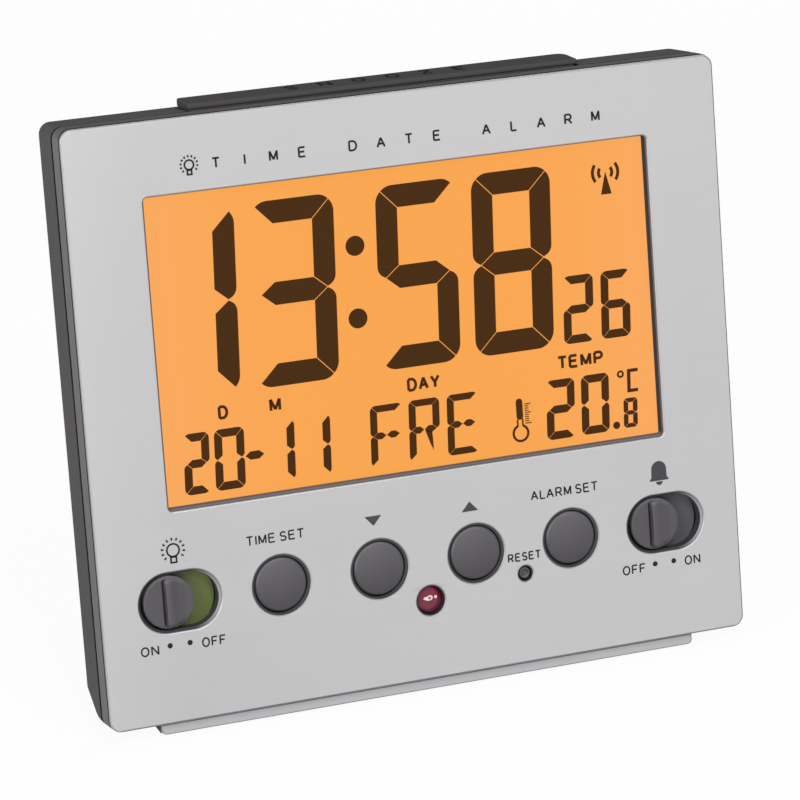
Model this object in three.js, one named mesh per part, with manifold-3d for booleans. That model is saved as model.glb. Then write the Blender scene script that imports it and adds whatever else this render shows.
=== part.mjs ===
// Radio-controlled alarm clock with a lit display, in the pieces it comes apart into on a bench.
// Millimetres. +Z is up, the display faces -Y, and the origin is on the table under the middle.

import * as THREE from 'three';
import { mergeVertices } from 'three/addons/utils/BufferGeometryUtils.js';
import Module from 'manifold-3d';

const wasm = await Module();
wasm.setup();

// Overall form

const TILT_DEGREES = 11;        // lean of the case away from the viewer
const CLEARANCE = 0.3;          // gap between neighbouring pieces
const CASE_WALL = 1.8;          // walls of the front housing and the rear cover
const CASE_CORNER = 1.7;        // corner radius of the plate, the housing and the rear cover
const SEAM_DEPTH = 4.2;         // front of the plate to the joint between housing and cover
const UNDERSIDE_DEGREES = 36;   // rise of the rear cover's underside towards the back
const PLATE_THICKNESS = 0.6;

// Display

const WINDOW_WIDTH = 77.4;
const WINDOW_HEIGHT = 45;
const WINDOW_CORNER = 0.7;
const WINDOW_LIP = 0.6;         // wall left in front of the display
const LCD_THICKNESS = 1.8;
const LCD_BORDER = 1.6;         // glass hidden behind the window's edges
const LCD_LEDGE = 3.2;          // contact ledge below the window
const GUIDE_THICKNESS = 2.4;
const LAMP_THICKNESS = 0.8;
const LAMP_WIDTH = 3;
const HOLDER_WALL = 1.2;
const STRIP_INSET = 4.3;        // ends of the contact strip in from the sides of the glass
const STRIP_HEIGHT = 1.8;

// Controls

const HOLDER_TO_CONTROLS = 3.625;  // free height between the display's holder and the buttons
const BUTTON_DIAMETER = 7.45;
const BUTTON_RING = 0.6;        // open ring round a button
const KNOB_RING = 0.5;          // open ring round a knob
const KNOB_END_GAP = 0.25;      // further free length at each end of a slot
const BUTTON_GAP = 5.3;         // free width between the rims of two buttons
const BUTTON_EDGE = 0.4;        // round edge of a button's face
const BUTTON_TRAVEL = 0.6;
const FLANGE = 0.8;             // thickness of the rims that keep buttons and sliders in
const FLANGE_OVERLAP = 0.6;     // reach of a rim past its opening
const STEM_LENGTH = 0.6;
const STEM_RADIUS = 1.5;
const SWITCH_SIZE = 6;          // side of a push switch body
const KNOB_DIAMETER = 7.7;
const KNOB_SINK = 0.3;          // knob face behind the plate's front
const RIDGE_HEIGHT = 0.8;       // grip ridge over the knob face
const RIDGE_WIDTH = 2.2;
const RIDGE_FLAT = 0.7;
const SLIDE_TRAVEL = 3.2;
const SLIDE_GAP = 1.55;         // free width beside a slide plate at the end of its travel
const SLIDE_SIDE_GAP = 1.2;     // the same towards the side of the case
const SLIDE_BODY_LENGTH = 8.4;
const SLIDE_BODY_HEIGHT = 6.4;
const SLIDE_PLATE_HEIGHT = 9.8;
const RESET_DROP = 4.2;         // reset pin below the row of buttons
const RESET_DIAMETER = 1.7;
const RESET_TRAVEL = 0.4;
const RESET_SWITCH_SIZE = 3;
const LENS_DROP = 5.9;          // red lens below the row of buttons
const LENS_DIAMETER = 3.8;
const LENS_SINK = 0.45;         // lens and reset pin behind the plate's front
const SENSOR_RADIUS = 1.6;
const SNOOZE_LENGTH = 60.1;
const SNOOZE_SHIFT = 0.5;       // middle of the bar to the right of the clock's middle
const SNOOZE_DEPTH = 5.1;
const SNOOZE_FRONT_RISE = 0.9;  // front and back edge of the bar above the case
const SNOOZE_BACK_RISE = 1.4;
const SNOOZE_TRAVEL = 0.7;
const SNOOZE_HOOK = 1;          // reach and height of the bar's hooks under the case top
const SNOOZE_SWITCH_DEPTH = 1.6;

// Front housing and main board

const FRONT_WALL = 1.1;         // wall behind the plate
const BOSS_RADIUS = 2.2;        // bosses for the case screws
const BOSS_GAP = 0.5;           // bosses from the board, the sliders and the upper edge of the case
const BOSS_SIDE_GAP = 0.7;
const POST_RADIUS = 1.9;        // posts that carry the main board
const POST_GAP = 0.65;          // upper posts over the display's holder
const POST_INSET = 5.6;         // upper posts in from the sides of the board
const LOW_POST_DROP = 6.1;      // lower post below the row of buttons
const TOP_SPACE = 1.2;          // free height over the upper posts
const BOARD_THICKNESS = 1.2;
const BOARD_SPACE = 1.2;        // free depth behind the board
const BOARD_MARGIN = 0.8;       // board past the display's holder
const BOARD_EDGE = 0.7;         // board below the lens
const BOARD_LIFT = 8.2;         // board over the bottom edge of the plate
const EAR_WIDTH = 8;
const TAB_WIDTH = 10;

// Small pieces on the back of the board

const PART_GAP = 2;
const CHIP_RADIUS = 6.5;
const CHIP_HEIGHT = 1.4;
const CHIP_SHOULDER = 5.2;      // radius and height where the chip's drop of resin rounds over
const CHIP_SHOULDER_HEIGHT = 1;
const CRYSTAL_RADIUS = 1.5;
const CRYSTAL_LENGTH = 7;
const CAPACITOR_RADIUS = 2.5;
const CAPACITOR_HEIGHT = 4.5;
const BUZZER_RADIUS = 6;
const BUZZER_HEIGHT = 4;
const RECEIVER_WIDTH = 16;
const RECEIVER_HEIGHT = 6;
const THERMISTOR_RADIUS = 1;

// Antenna

const ROD_RADIUS = 3;
const ROD_LENGTH = 48;
const ROD_RISE = 6.5;           // rod over the floor of the rear box
const COIL_THICKNESS = 1.2;
const COIL_LENGTH = 22;
const SADDLE_WIDTH = 3;

// Batteries and the rear box that holds them

const CELL_DIAMETER = 14.5;
const CELL_LENGTH = 50.5;
const CELL_NUB_RADIUS = 2.75;
const CELL_NUB_LENGTH = 1;
const SPRING_LENGTH = 5.2;
const SPRING_WIRE = 0.7;
const SPRING_TURNS = 4;
const SPRING_WIDE = 4.5;        // coil radius at the wall and at the cell
const SPRING_NARROW = 2.8;
const CONTACT_THICKNESS = 0.5;
const CONTACT_SIZE = 9;
const BOX_SPACE = 6.7;          // board to battery pocket, at the top of the pocket
const POCKET_WALL = 1.4;
const BOX_SIDE_WALL = 3.4;
const BOX_BOTTOM_WALL = 3.6;
const BOX_SHOULDER = 8.5;       // rear wall over the battery pocket
const BOX_TOP_DROP = 21;        // where the box meets the back, below the top of the case
const BOX_CORNER = 4;
const DOOR_THICKNESS = 1.6;
const DOOR_LEDGE = 1.5;
const DOOR_CORNER = 2;
const FINGER_NOTCH_RADIUS = 4;
const SOUND_SLOTS = 5;
const SOUND_SLOT_LENGTH = 18;
const SOUND_SLOT_HEIGHT = 1.2;
const SOUND_SLOT_PITCH = 2.6;
const SOUND_SLOT_DROP = 7.5;    // highest slot below the top of the case

// Foot, pads and screws

const FOOT_WIDTH = 84;
const FOOT_SETBACK = 1.5;       // silver strip behind the plate's front
const FOOT_DROP = 1.9;          // strip below the plate's bottom edge
const TRIM_THICKNESS = 0.5;
const TRIM_CORNER = 0.7;
const PAD_RADIUS = 3.5;
const PAD_THICKNESS = 1;
const PAD_PROUD = 0.5;
const PAD_FRONT_INSET = 9;      // pads in from the edges of the base
const PAD_REAR_INSET = 6.5;
const PAD_SIDE_INSET = 7;
const SCREW_RADIUS = 1.2;
const SCREW_HEAD_RADIUS = 2;
const SCREW_HEAD_HEIGHT = 1;
const SCREW_GRIP = 3;           // thread inside a boss
const BOARD_SCREW_RADIUS = 0.8;
const BOARD_SCREW_HEAD = 0.6;
const BASE_SCREW_GRIP = 2.4;
const BASE_SCREW_SPREAD = 12;

// Facets

const ROUND = 24;               // sides of the round pieces that show
const SMALL_ROUND = 12;         // sides of screws, posts and hidden pieces
const CORNER_STEPS = 3;         // half the steps round a corner
const END_STEPS = 6;            // half the steps round a slot's end
const WIRE_SIDES = 5;
const STEPS_PER_TURN = 8;
const WELD = 1e-4;              // points closer than this are one point

// Depths in the case, counted back from the plate's front

const tilt = THREE.MathUtils.degToRad(TILT_DEGREES);
const wallFront = PLATE_THICKNESS + CLEARANCE;
const wallBack = wallFront + FRONT_WALL;
const lcdFront = wallFront + WINDOW_LIP + CLEARANCE;
const lcdBack = lcdFront + LCD_THICKNESS;
const guideFront = lcdBack + CLEARANCE;
const guideBack = guideFront + GUIDE_THICKNESS;
const boardFront = guideBack + CLEARANCE;
const boardBack = boardFront + BOARD_THICKNESS;
const coverInside = boardBack + BOARD_SPACE;
const coverBack = coverInside + CASE_WALL;
const coverFront = SEAM_DEPTH + CLEARANCE;
const flangeFront = wallBack + CLEARANCE;
const flangeBack = flangeFront + FLANGE;
const stemEnd = flangeBack + STEM_LENGTH;
const onBoard = boardFront - CLEARANCE;
const behindBoard = boardBack + CLEARANCE;
const past = CASE_WALL;         // how far a cutting tool runs past the wall it opens

// Sizes of the openings, and of the rims behind them

const buttonHole = BUTTON_DIAMETER / 2 + BUTTON_RING;
const buttonRim = buttonHole + FLANGE_OVERLAP;
const resetHole = RESET_DIAMETER / 2 + CLEARANCE;
const lensHole = LENS_DIAMETER / 2 + CLEARANCE;
const lensRim = lensHole + FLANGE_OVERLAP;
const slotHeight = KNOB_DIAMETER + 2 * KNOB_RING;
const slotLength = slotHeight + SLIDE_TRAVEL + 2 * KNOB_END_GAP;
const slideReach = KNOB_DIAMETER / 2 + SLIDE_TRAVEL + KNOB_END_GAP;
const slideZone = slideReach + SLIDE_TRAVEL / 2;
const slideHalf = SLIDE_PLATE_HEIGHT / 2;

// Heights over the plate's bottom edge, stacked upwards, then counted from the plate's middle

const lensHeight = BOARD_LIFT + BOARD_EDGE + lensRim;
const controlsHeight = lensHeight + LENS_DROP;
const holderRim = CLEARANCE + HOLDER_WALL;
const lcdHeight = controlsHeight + buttonRim + HOLDER_TO_CONTROLS + holderRim;
const windowHeight = lcdHeight + LCD_LEDGE;
const holderHeight = windowHeight + WINDOW_HEIGHT + LCD_BORDER + holderRim;
const postHeight = holderHeight + POST_GAP + POST_RADIUS;
const plateHeight = postHeight + POST_RADIUS + TOP_SPACE + CASE_WALL;
const plateTop = plateHeight / 2;
const plateBottom = -plateTop;
const boardLow = plateBottom + BOARD_LIFT;
const lensZ = plateBottom + lensHeight;
const controlsZ = plateBottom + controlsHeight;
const resetZ = controlsZ - RESET_DROP;
const lcdBottom = plateBottom + lcdHeight;
const windowBottom = plateBottom + windowHeight;
const windowTop = windowBottom + WINDOW_HEIGHT;
const windowMiddle = windowBottom + WINDOW_HEIGHT / 2;
const lcdTop = windowTop + LCD_BORDER;
const holderTop = plateBottom + holderHeight;
const boardHigh = holderTop + POST_GAP;
const postZ = plateBottom + postHeight;
const lowPostZ = controlsZ - LOW_POST_DROP;
const footTop = plateBottom - CLEARANCE;
const footBottom = plateBottom - FOOT_DROP;
const snoozeUnder = plateTop - CASE_WALL - CLEARANCE - SNOOZE_HOOK;
const snoozeSwitchTop = snoozeUnder - SNOOZE_TRAVEL - CLEARANCE;
const tabTop = snoozeSwitchTop - CLEARANCE;
const undersideSlope = Math.tan(THREE.MathUtils.degToRad(UNDERSIDE_DEGREES));
const undersideEnd = plateBottom + (coverBack - coverFront) * undersideSlope;

// Places across the plate

const buttonPitch = 2 * buttonRim + BUTTON_GAP;
const switchX = 1.5 * buttonPitch + buttonRim + SLIDE_GAP + slideZone;
const lcdSide = WINDOW_WIDTH / 2 + LCD_BORDER;
const boardSide = Math.max(lcdSide + holderRim + BOARD_MARGIN, switchX + SLIDE_BODY_LENGTH / 2 + CLEARANCE);
const bossX = boardSide + BOSS_GAP + BOSS_RADIUS;
const insideSide = Math.max(bossX + BOSS_RADIUS + BOSS_SIDE_GAP, switchX + slideZone + SLIDE_SIDE_GAP);
const plateSide = insideSide + CASE_WALL;
const postX = boardSide - POST_INSET;
const BUTTONS = [
  { name: 'time_button', x: -1.5 * buttonPitch },
  { name: 'down_button', x: -0.5 * buttonPitch },
  { name: 'up_button', x: 0.5 * buttonPitch },
  { name: 'alarm_button', x: 1.5 * buttonPitch },
];
const SWITCHES = [
  { name: 'light', x: -switchX, plate: 'green' },
  { name: 'alarm', x: switchX, plate: 'dark' },
];
const upperBossZ = plateTop - CASE_WALL - BOSS_GAP - BOSS_RADIUS;
const lowerBossZ = controlsZ - slideHalf - BOSS_GAP - BOSS_RADIUS;
const BOSSES = [
  { name: 'case_screw_top_left', x: -bossX, z: upperBossZ },
  { name: 'case_screw_top_right', x: bossX, z: upperBossZ },
  { name: 'case_screw_bottom_left', x: -bossX, z: lowerBossZ },
  { name: 'case_screw_bottom_right', x: bossX, z: lowerBossZ },
];
const POSTS = [
  { name: 'board_screw_left', x: -postX, z: postZ },
  { name: 'board_screw_right', x: postX, z: postZ },
  { name: 'board_screw_low', x: -buttonPitch, z: lowPostZ },
];

// The clock stands in one group, whose y counts back from the plate's lowest edge. The case leans
// back in another: x to the right, y into the case, z up the plate.

const clock = new THREE.Group();
const standing = new THREE.Group();
const leaning = new THREE.Group();
clock.add(standing);
standing.add(leaning);
leaning.rotation.x = -tilt;
leaning.position.y = -plateBottom * Math.sin(tilt);
leaning.position.z = PAD_PROUD - footBottom * Math.cos(tilt) + FOOT_SETBACK * Math.sin(tilt);
leaning.updateMatrix();
const toCase = leaning.matrix.clone().invert();

// Depth and height on the table of a point given in the case
function onTable(y, z) {
  const point = new THREE.Vector3(0, y, z).applyMatrix4(leaning.matrix);
  return [point.y, point.z];
}

// Solids

function toManifold(geometry) {
  const bare = geometry.clone();
  bare.deleteAttribute('normal');
  bare.deleteAttribute('uv');
  const welded = mergeVertices(bare, WELD);
  const corners = welded.index.array;
  const kept = [];
  for (let i = 0; i < corners.length; i += 3) {
    const [a, b, c] = [corners[i], corners[i + 1], corners[i + 2]];
    if (a !== b && b !== c && c !== a) kept.push(a, b, c);
  }
  const vertProperties = welded.attributes.position.array;
  return new wasm.Manifold(new wasm.Mesh({ numProp: 3, vertProperties, triVerts: Uint32Array.from(kept) }));
}

function toGeometry(manifold) {
  const mesh = manifold.getMesh();
  const geometry = new THREE.BufferGeometry();
  geometry.setAttribute('position', new THREE.BufferAttribute(mesh.vertProperties.slice(), 3));
  geometry.setIndex(new THREE.BufferAttribute(mesh.triVerts.slice(), 1));
  geometry.computeVertexNormals();
  return geometry;
}

function join(...geometries) {
  return toGeometry(geometries.map(toManifold).reduce((whole, next) => whole.add(next)));
}

function cut(geometry, ...tools) {
  return toGeometry(tools.map(toManifold).reduce((rest, tool) => rest.subtract(tool), toManifold(geometry)));
}

function common(geometry, other) {
  return toGeometry(toManifold(geometry).intersect(toManifold(other)));
}

const both = (half) => [-half, half];
const around = (middle, half) => [middle - half, middle + half];

function box([x0, x1], [y0, y1], [z0, z1]) {
  const geometry = new THREE.BoxGeometry(x1 - x0, y1 - y0, z1 - z0);
  return geometry.translate((x0 + x1) / 2, (y0 + y1) / 2, (z0 + z1) / 2);
}

// Round bars along y, along x and along z
function rod(radius, [y0, y1], x, z, sides = SMALL_ROUND) {
  return new THREE.CylinderGeometry(radius, radius, y1 - y0, sides).translate(x, (y0 + y1) / 2, z);
}

function crossRod(radius, [x0, x1], y, z, sides = SMALL_ROUND) {
  const geometry = new THREE.CylinderGeometry(radius, radius, x1 - x0, sides).rotateZ(Math.PI / 2);
  return geometry.translate((x0 + x1) / 2, y, z);
}

function uprightRod(radius, [z0, z1], x, y, sides = SMALL_ROUND) {
  const geometry = new THREE.CylinderGeometry(radius, radius, z1 - z0, sides).rotateX(Math.PI / 2);
  return geometry.translate(x, y, (z0 + z1) / 2);
}

// A turned piece along y, from pairs of radius and depth
function turned(points, x, z, sides = ROUND) {
  return new THREE.LatheGeometry(points.map(([r, y]) => new THREE.Vector2(r, y)), sides).translate(x, 0, z);
}

function outline(points) {
  return new THREE.Shape(points.map(([a, b]) => new THREE.Vector2(a, b)));
}

function roundedRectangle([x0, x1], [z0, z1], radius) {
  const shape = new THREE.Shape();
  const quarter = Math.PI / 2;
  shape.absarc(x1 - radius, z1 - radius, radius, 0, quarter);
  shape.absarc(x0 + radius, z1 - radius, radius, quarter, 2 * quarter);
  shape.absarc(x0 + radius, z0 + radius, radius, 2 * quarter, 3 * quarter);
  shape.absarc(x1 - radius, z0 + radius, radius, 3 * quarter, 4 * quarter);
  return shape;
}

function stadium(length, height, x, z) {
  const shape = new THREE.Shape();
  const reach = (length - height) / 2;
  shape.absarc(x + reach, z, height / 2, -Math.PI / 2, Math.PI / 2);
  shape.absarc(x - reach, z, height / 2, Math.PI / 2, 3 * Math.PI / 2);
  return shape;
}

function extrude(shape, depth, curveSegments = CORNER_STEPS) {
  return new THREE.ExtrudeGeometry(shape, { depth, curveSegments, bevelEnabled: false });
}

// A shape drawn in x and z, from depth y0 to y1
function sheet(shape, [y0, y1], steps = CORNER_STEPS) {
  return extrude(shape, y1 - y0, steps).rotateX(Math.PI / 2).translate(0, y1, 0);
}

// A shape drawn in y and z, from x0 to x1
function profile(points, [x0, x1]) {
  const turn = new THREE.Matrix4().makeBasis(
    new THREE.Vector3(0, 1, 0), new THREE.Vector3(0, 0, 1), new THREE.Vector3(1, 0, 0));
  return extrude(outline(points), x1 - x0).applyMatrix4(turn).translate(x0, 0, 0);
}

// Finishes

const FINISHES = {
  silver: { color: 0xcbcbcb, roughness: 0.38, metalness: 0.7 },
  grey: { color: 0x808080, roughness: 0.45, metalness: 0 },
  dark: { color: 0x57565a, roughness: 0.55, metalness: 0 },
  button: { color: 0x5a5a5c, roughness: 0.5, metalness: 0 },
  green: { color: 0x5f6e3c, roughness: 0.55, metalness: 0 },
  display: { color: 0xfba554, roughness: 0.35, metalness: 0 },
  clear: { color: 0xf2c48c, roughness: 0.15, metalness: 0 },
  white: { color: 0xe8e6e0, roughness: 0.6, metalness: 0 },
  lens: { color: 0x962d46, roughness: 0.12, metalness: 0 },
  board: { color: 0x2f5d3a, roughness: 0.5, metalness: 0 },
  black: { color: 0x1c1c1e, roughness: 0.6, metalness: 0 },
  steel: { color: 0xb8b8b8, roughness: 0.3, metalness: 1 },
  copper: { color: 0xb06a3a, roughness: 0.35, metalness: 1 },
  ferrite: { color: 0x3a3838, roughness: 0.7, metalness: 0 },
  rubber: { color: 0x242424, roughness: 0.9, metalness: 0 },
  jacket: { color: 0x4a5a66, roughness: 0.35, metalness: 0.3 },
};

function add(name, geometry, finish, parent = leaning) {
  const mesh = new THREE.Mesh(geometry, new THREE.MeshStandardMaterial(FINISHES[finish]));
  mesh.name = name;
  parent.add(mesh);
}

// Tools that cut the window and every control's opening through a wall
function openings(depths) {
  const holes = BUTTONS.map(({ x }) => rod(buttonHole, depths, x, controlsZ, ROUND));
  const slots = SWITCHES.map(({ x }) => sheet(
    stadium(slotLength, slotHeight, x, controlsZ), depths, END_STEPS));
  const reset = rod(resetHole, depths, buttonPitch, resetZ);
  const lens = rod(lensHole, depths, 0, lensZ, ROUND);
  const window = roundedRectangle(both(WINDOW_WIDTH / 2), [windowBottom, windowTop], WINDOW_CORNER);
  return [...holes, ...slots, reset, lens, sheet(window, depths)];
}

// Front plate

const caseOutline = roundedRectangle(both(plateSide), both(plateTop), CASE_CORNER);
const plateBlank = sheet(caseOutline, [0, PLATE_THICKNESS]);
add('front_plate', cut(plateBlank, ...openings([-past, PLATE_THICKNESS + past])), 'silver');

// Front housing, with bosses for the case screws and posts for the main board

const bossEnd = coverInside - CLEARANCE;
const bossHole = SCREW_RADIUS + CLEARANCE;
const postHole = BOARD_SCREW_RADIUS + CLEARANCE;
const innerCorner = CASE_CORNER / 2;
const insideWall = roundedRectangle(both(insideSide), both(plateTop - CASE_WALL), innerCorner);
const lcdOutline = [lcdBottom - CLEARANCE, lcdTop + CLEARANCE];
const lcdPocket = box(both(lcdSide + CLEARANCE), [lcdFront - CLEARANCE, wallBack + past], lcdOutline);
const housingShell = cut(
  sheet(caseOutline, [wallFront, SEAM_DEPTH]), sheet(insideWall, [wallBack, SEAM_DEPTH + past]),
  lcdPocket, ...openings([wallFront - past, wallBack + past]));
const rootDepth = wallBack - FRONT_WALL / 2;   // bosses and posts grow out of the front wall
const bosses = BOSSES.map(({ x, z }) => rod(BOSS_RADIUS, [rootDepth, bossEnd], x, z));
const posts = POSTS.map(({ x, z }) => rod(POST_RADIUS, [rootDepth, onBoard], x, z));
const screwTip = bossEnd - SCREW_GRIP;
const bossHoles = BOSSES.map(({ x, z }) => rod(bossHole, [screwTip - CLEARANCE, bossEnd + past], x, z));
const postHoles = POSTS.map(({ x, z }) => rod(postHole, [wallBack, onBoard + past], x, z));
add('front_housing', cut(join(housingShell, ...bosses, ...posts), ...bossHoles, ...postHoles), 'grey');

// Display: glass panel, light guide with a lamp at each end, holder and contact strip

const guideSide = lcdSide - LAMP_THICKNESS - 2 * CLEARANCE;
add('lcd_panel', box(both(lcdSide), [lcdFront, lcdBack], [lcdBottom, lcdTop]), 'display');
add('light_guide', box(both(guideSide), [guideFront, guideBack], [windowBottom, lcdTop]), 'clear');
for (const [name, side] of [['left_lamp', -1], ['right_lamp', 1]]) {
  const x = side * (guideSide + CLEARANCE + LAMP_THICKNESS / 2);
  const heights = around(windowMiddle, LAMP_WIDTH / 2);
  add(name, box(around(x, LAMP_THICKNESS / 2), [guideFront, onBoard], heights), 'white');
}
const holderOutside = box(
  both(lcdSide + holderRim), [flangeFront, onBoard], [lcdBottom - holderRim, lcdTop + holderRim]);
const holderInside = box(both(lcdSide + CLEARANCE), [flangeFront - past, onBoard + past], lcdOutline);
add('lcd_holder', cut(holderOutside, holderInside), 'white');
const stripBottom = lcdBottom + CLEARANCE;
add('contact_strip', box(
  both(lcdSide - STRIP_INSET), [guideFront, onBoard], [stripBottom, stripBottom + STRIP_HEIGHT]), 'rubber');

// Push buttons, each over a switch body on the board

function pushSwitch(x, z, travel, size) {
  return box(around(x, size / 2), [stemEnd + travel + CLEARANCE, onBoard], around(z, size / 2));
}

for (const { name, x } of BUTTONS) {
  const radius = BUTTON_DIAMETER / 2;
  add(name, turned([
    [0, 0], [radius - BUTTON_EDGE, 0], [radius, BUTTON_EDGE], [radius, flangeFront],
    [buttonRim, flangeFront], [buttonRim, flangeBack], [STEM_RADIUS, flangeBack], [STEM_RADIUS, stemEnd],
    [0, stemEnd],
  ], x, controlsZ), 'button');
  add(`${name}_switch`, pushSwitch(x, controlsZ, BUTTON_TRAVEL, SWITCH_SIZE), 'black');
}

const resetRadius = RESET_DIAMETER / 2;
const resetRim = resetHole + FLANGE_OVERLAP;
add('reset_button', turned([
  [0, LENS_SINK], [resetRadius, LENS_SINK], [resetRadius, flangeFront], [resetRim, flangeFront],
  [resetRim, flangeBack], [resetRadius, flangeBack], [resetRadius, stemEnd], [0, stemEnd],
], buttonPitch, resetZ, SMALL_ROUND), 'button');
add('reset_switch', pushSwitch(buttonPitch, resetZ, RESET_TRAVEL, RESET_SWITCH_SIZE), 'black');

// Red lens over the light sensor

const lensRadius = LENS_DIAMETER / 2;
add('sensor_lens', turned([
  [0, LENS_SINK], [lensRadius, LENS_SINK], [lensRadius, flangeFront], [lensRim, flangeFront],
  [lensRim, flangeBack], [0, flangeBack],
], 0, lensZ), 'lens');
add('light_sensor', rod(SENSOR_RADIUS, [flangeBack + CLEARANCE, onBoard], 0, lensZ), 'black');

// Slide switches: a round knob with a grip ridge, the plate it rides on and the switch body

for (const { name, x, plate } of SWITCHES) {
  const knobX = x - SLIDE_TRAVEL / 2;
  const knobRadius = KNOB_DIAMETER / 2;
  const ridgeTop = KNOB_SINK - RIDGE_HEIGHT;
  const disc = rod(knobRadius, [KNOB_SINK, wallBack], knobX, controlsZ, ROUND);
  const ridgeBar = extrude(outline([
    [knobX, wallBack], [knobX, ridgeTop], [knobX + RIDGE_FLAT, ridgeTop],
    [knobX + RIDGE_WIDTH, KNOB_SINK], [knobX + RIDGE_WIDTH, wallBack],
  ]), KNOB_DIAMETER).translate(0, 0, controlsZ - knobRadius);
  const ridgeRound = rod(knobRadius - BUTTON_EDGE, [ridgeTop - past, wallBack], knobX, controlsZ, ROUND);
  add(`${name}_knob`, join(disc, common(ridgeBar, ridgeRound)), 'button');
  const slideHeights = around(controlsZ, slideHalf);
  add(`${name}_slide_plate`, box(around(knobX, slideReach), [flangeFront, flangeBack], slideHeights), plate);
  const bodyHeights = around(controlsZ, SLIDE_BODY_HEIGHT / 2);
  add(`${name}_switch_body`, box(
    around(x, SLIDE_BODY_LENGTH / 2), [flangeBack + CLEARANCE, onBoard], bodyHeights), 'black');
}

// Main board, with ears over the upper posts and a tab under the snooze bar

const boardDepths = [boardFront, boardBack];
const ears = [-postX, postX].map((x) => box(
  around(x, EAR_WIDTH / 2), boardDepths, [boardHigh - past, postZ + POST_RADIUS]));
const tab = box(both(TAB_WIDTH / 2), boardDepths, [boardHigh - past, tabTop]);
const board = join(box(both(boardSide), boardDepths, [boardLow, boardHigh]), tab, ...ears);
const boardHoles = POSTS.map(({ x, z }) => rod(postHole, [boardFront - past, boardBack + past], x, z));
add('main_board', cut(board, ...boardHoles), 'board');
for (const { name, x, z } of POSTS) {
  const tip = wallBack + CLEARANCE;
  const headEnd = behindBoard + BOARD_SCREW_HEAD;
  add(name, turned([
    [0, tip], [BOARD_SCREW_RADIUS, tip], [BOARD_SCREW_RADIUS, behindBoard], [POST_RADIUS, behindBoard],
    [POST_RADIUS, headEnd], [0, headEnd],
  ], x, z, SMALL_ROUND), 'steel');
}

// Small pieces on the back of the board, in a row under the chip and the receiver

const chipX = buttonPitch / 2;
const rowZ = -CHIP_RADIUS - PART_GAP - CRYSTAL_RADIUS;
const chipTop = behindBoard + CHIP_HEIGHT;
const chipSide = behindBoard + CHIP_SHOULDER_HEIGHT;
add('controller_chip', turned([
  [0, behindBoard], [CHIP_RADIUS, behindBoard], [CHIP_SHOULDER, chipSide], [CHIP_SHOULDER / 2, chipTop],
  [0, chipTop],
], chipX, 0, SMALL_ROUND), 'black');
const crystalEnd = chipX + CRYSTAL_LENGTH;
add('crystal', crossRod(CRYSTAL_RADIUS, [chipX, crystalEnd], behindBoard + CRYSTAL_RADIUS, rowZ), 'steel');
const capacitorX = crystalEnd + PART_GAP + CAPACITOR_RADIUS;
const capacitorEnd = behindBoard + CAPACITOR_HEIGHT;
add('capacitor', rod(CAPACITOR_RADIUS, [behindBoard, capacitorEnd], capacitorX, rowZ), 'black');
const buzzerZ = -RECEIVER_HEIGHT / 2 - PART_GAP / 2 - BUZZER_RADIUS;
const buzzerEnd = behindBoard + BUZZER_HEIGHT;
add('buzzer', rod(BUZZER_RADIUS, [behindBoard, buzzerEnd], -chipX, buzzerZ, ROUND), 'black');
const receiverSpan = [-chipX - RECEIVER_WIDTH, -chipX];
const receiverDepths = [behindBoard, behindBoard + BOARD_THICKNESS];
add('receiver_board', box(receiverSpan, receiverDepths, both(RECEIVER_HEIGHT / 2)), 'board');
const bead = new THREE.SphereGeometry(THERMISTOR_RADIUS, SMALL_ROUND, SMALL_ROUND / 2);
const beadX = -chipX - BUZZER_RADIUS - PART_GAP - THERMISTOR_RADIUS;
add('thermistor', bead.translate(beadX, behindBoard + THERMISTOR_RADIUS, buzzerZ), 'ferrite');

// Snooze bar, hooked under the case top, over its switch on the board's tab

const snoozeFront = coverFront;
const snoozeBack = snoozeFront + SNOOZE_DEPTH;
const snoozeSide = SNOOZE_LENGTH / 2;
const stepZ = plateTop - CASE_WALL / 2;   // the bar's rear lip sits over the cover's back wall
const snoozeProfile = [
  [snoozeFront, snoozeUnder], [snoozeFront, plateTop + SNOOZE_FRONT_RISE],
  [snoozeBack, plateTop + SNOOZE_BACK_RISE], [snoozeBack, stepZ], [bossEnd, stepZ], [bossEnd, snoozeUnder],
];
const hookHeights = [snoozeUnder, snoozeUnder + SNOOZE_HOOK];
const hooks = box(around(SNOOZE_SHIFT, snoozeSide + SNOOZE_HOOK), [snoozeFront, bossEnd], hookHeights);
add('snooze_bar', join(profile(snoozeProfile, around(SNOOZE_SHIFT, snoozeSide)), hooks), 'dark');
add('snooze_switch', box(
  both(SWITCH_SIZE / 2), [onBoard - SNOOZE_SWITCH_DEPTH, onBoard], [holderTop + CLEARANCE, snoozeSwitchTop],
), 'black');

// Rear box on the table behind the case: pocket for two cells, open to the back

const [, boxBottom] = onTable(coverBack, undersideEnd);
const pocketBottom = boxBottom + BOX_BOTTOM_WALL;
const cellRadius = CELL_DIAMETER / 2;
const lowCell = pocketBottom + CLEARANCE + cellRadius;
const highCell = lowCell + CELL_DIAMETER + CLEARANCE;
const pocketTop = highCell + cellRadius + CLEARANCE;
const [, boardMiddle] = onTable(boardBack, 0);
const boardAtPocket = onTable(boardBack, (pocketTop - boardMiddle) / Math.cos(tilt))[0];
const pocketFront = boardAtPocket + BOX_SPACE;
const pocketFloor = pocketFront + POCKET_WALL;
const cellDepth = pocketFloor + CLEARANCE + cellRadius;
const doorSeat = cellDepth + cellRadius + CLEARANCE;
const doorFront = doorSeat + CLEARANCE;
const rearWall = doorFront + DOOR_THICKNESS;
const pocketHalf = (CELL_LENGTH + SPRING_LENGTH + CONTACT_THICKNESS) / 2 + 2 * CLEARANCE;
const boxHalf = pocketHalf + BOX_SIDE_WALL;
standing.position.y = -rearWall / 2;

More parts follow.
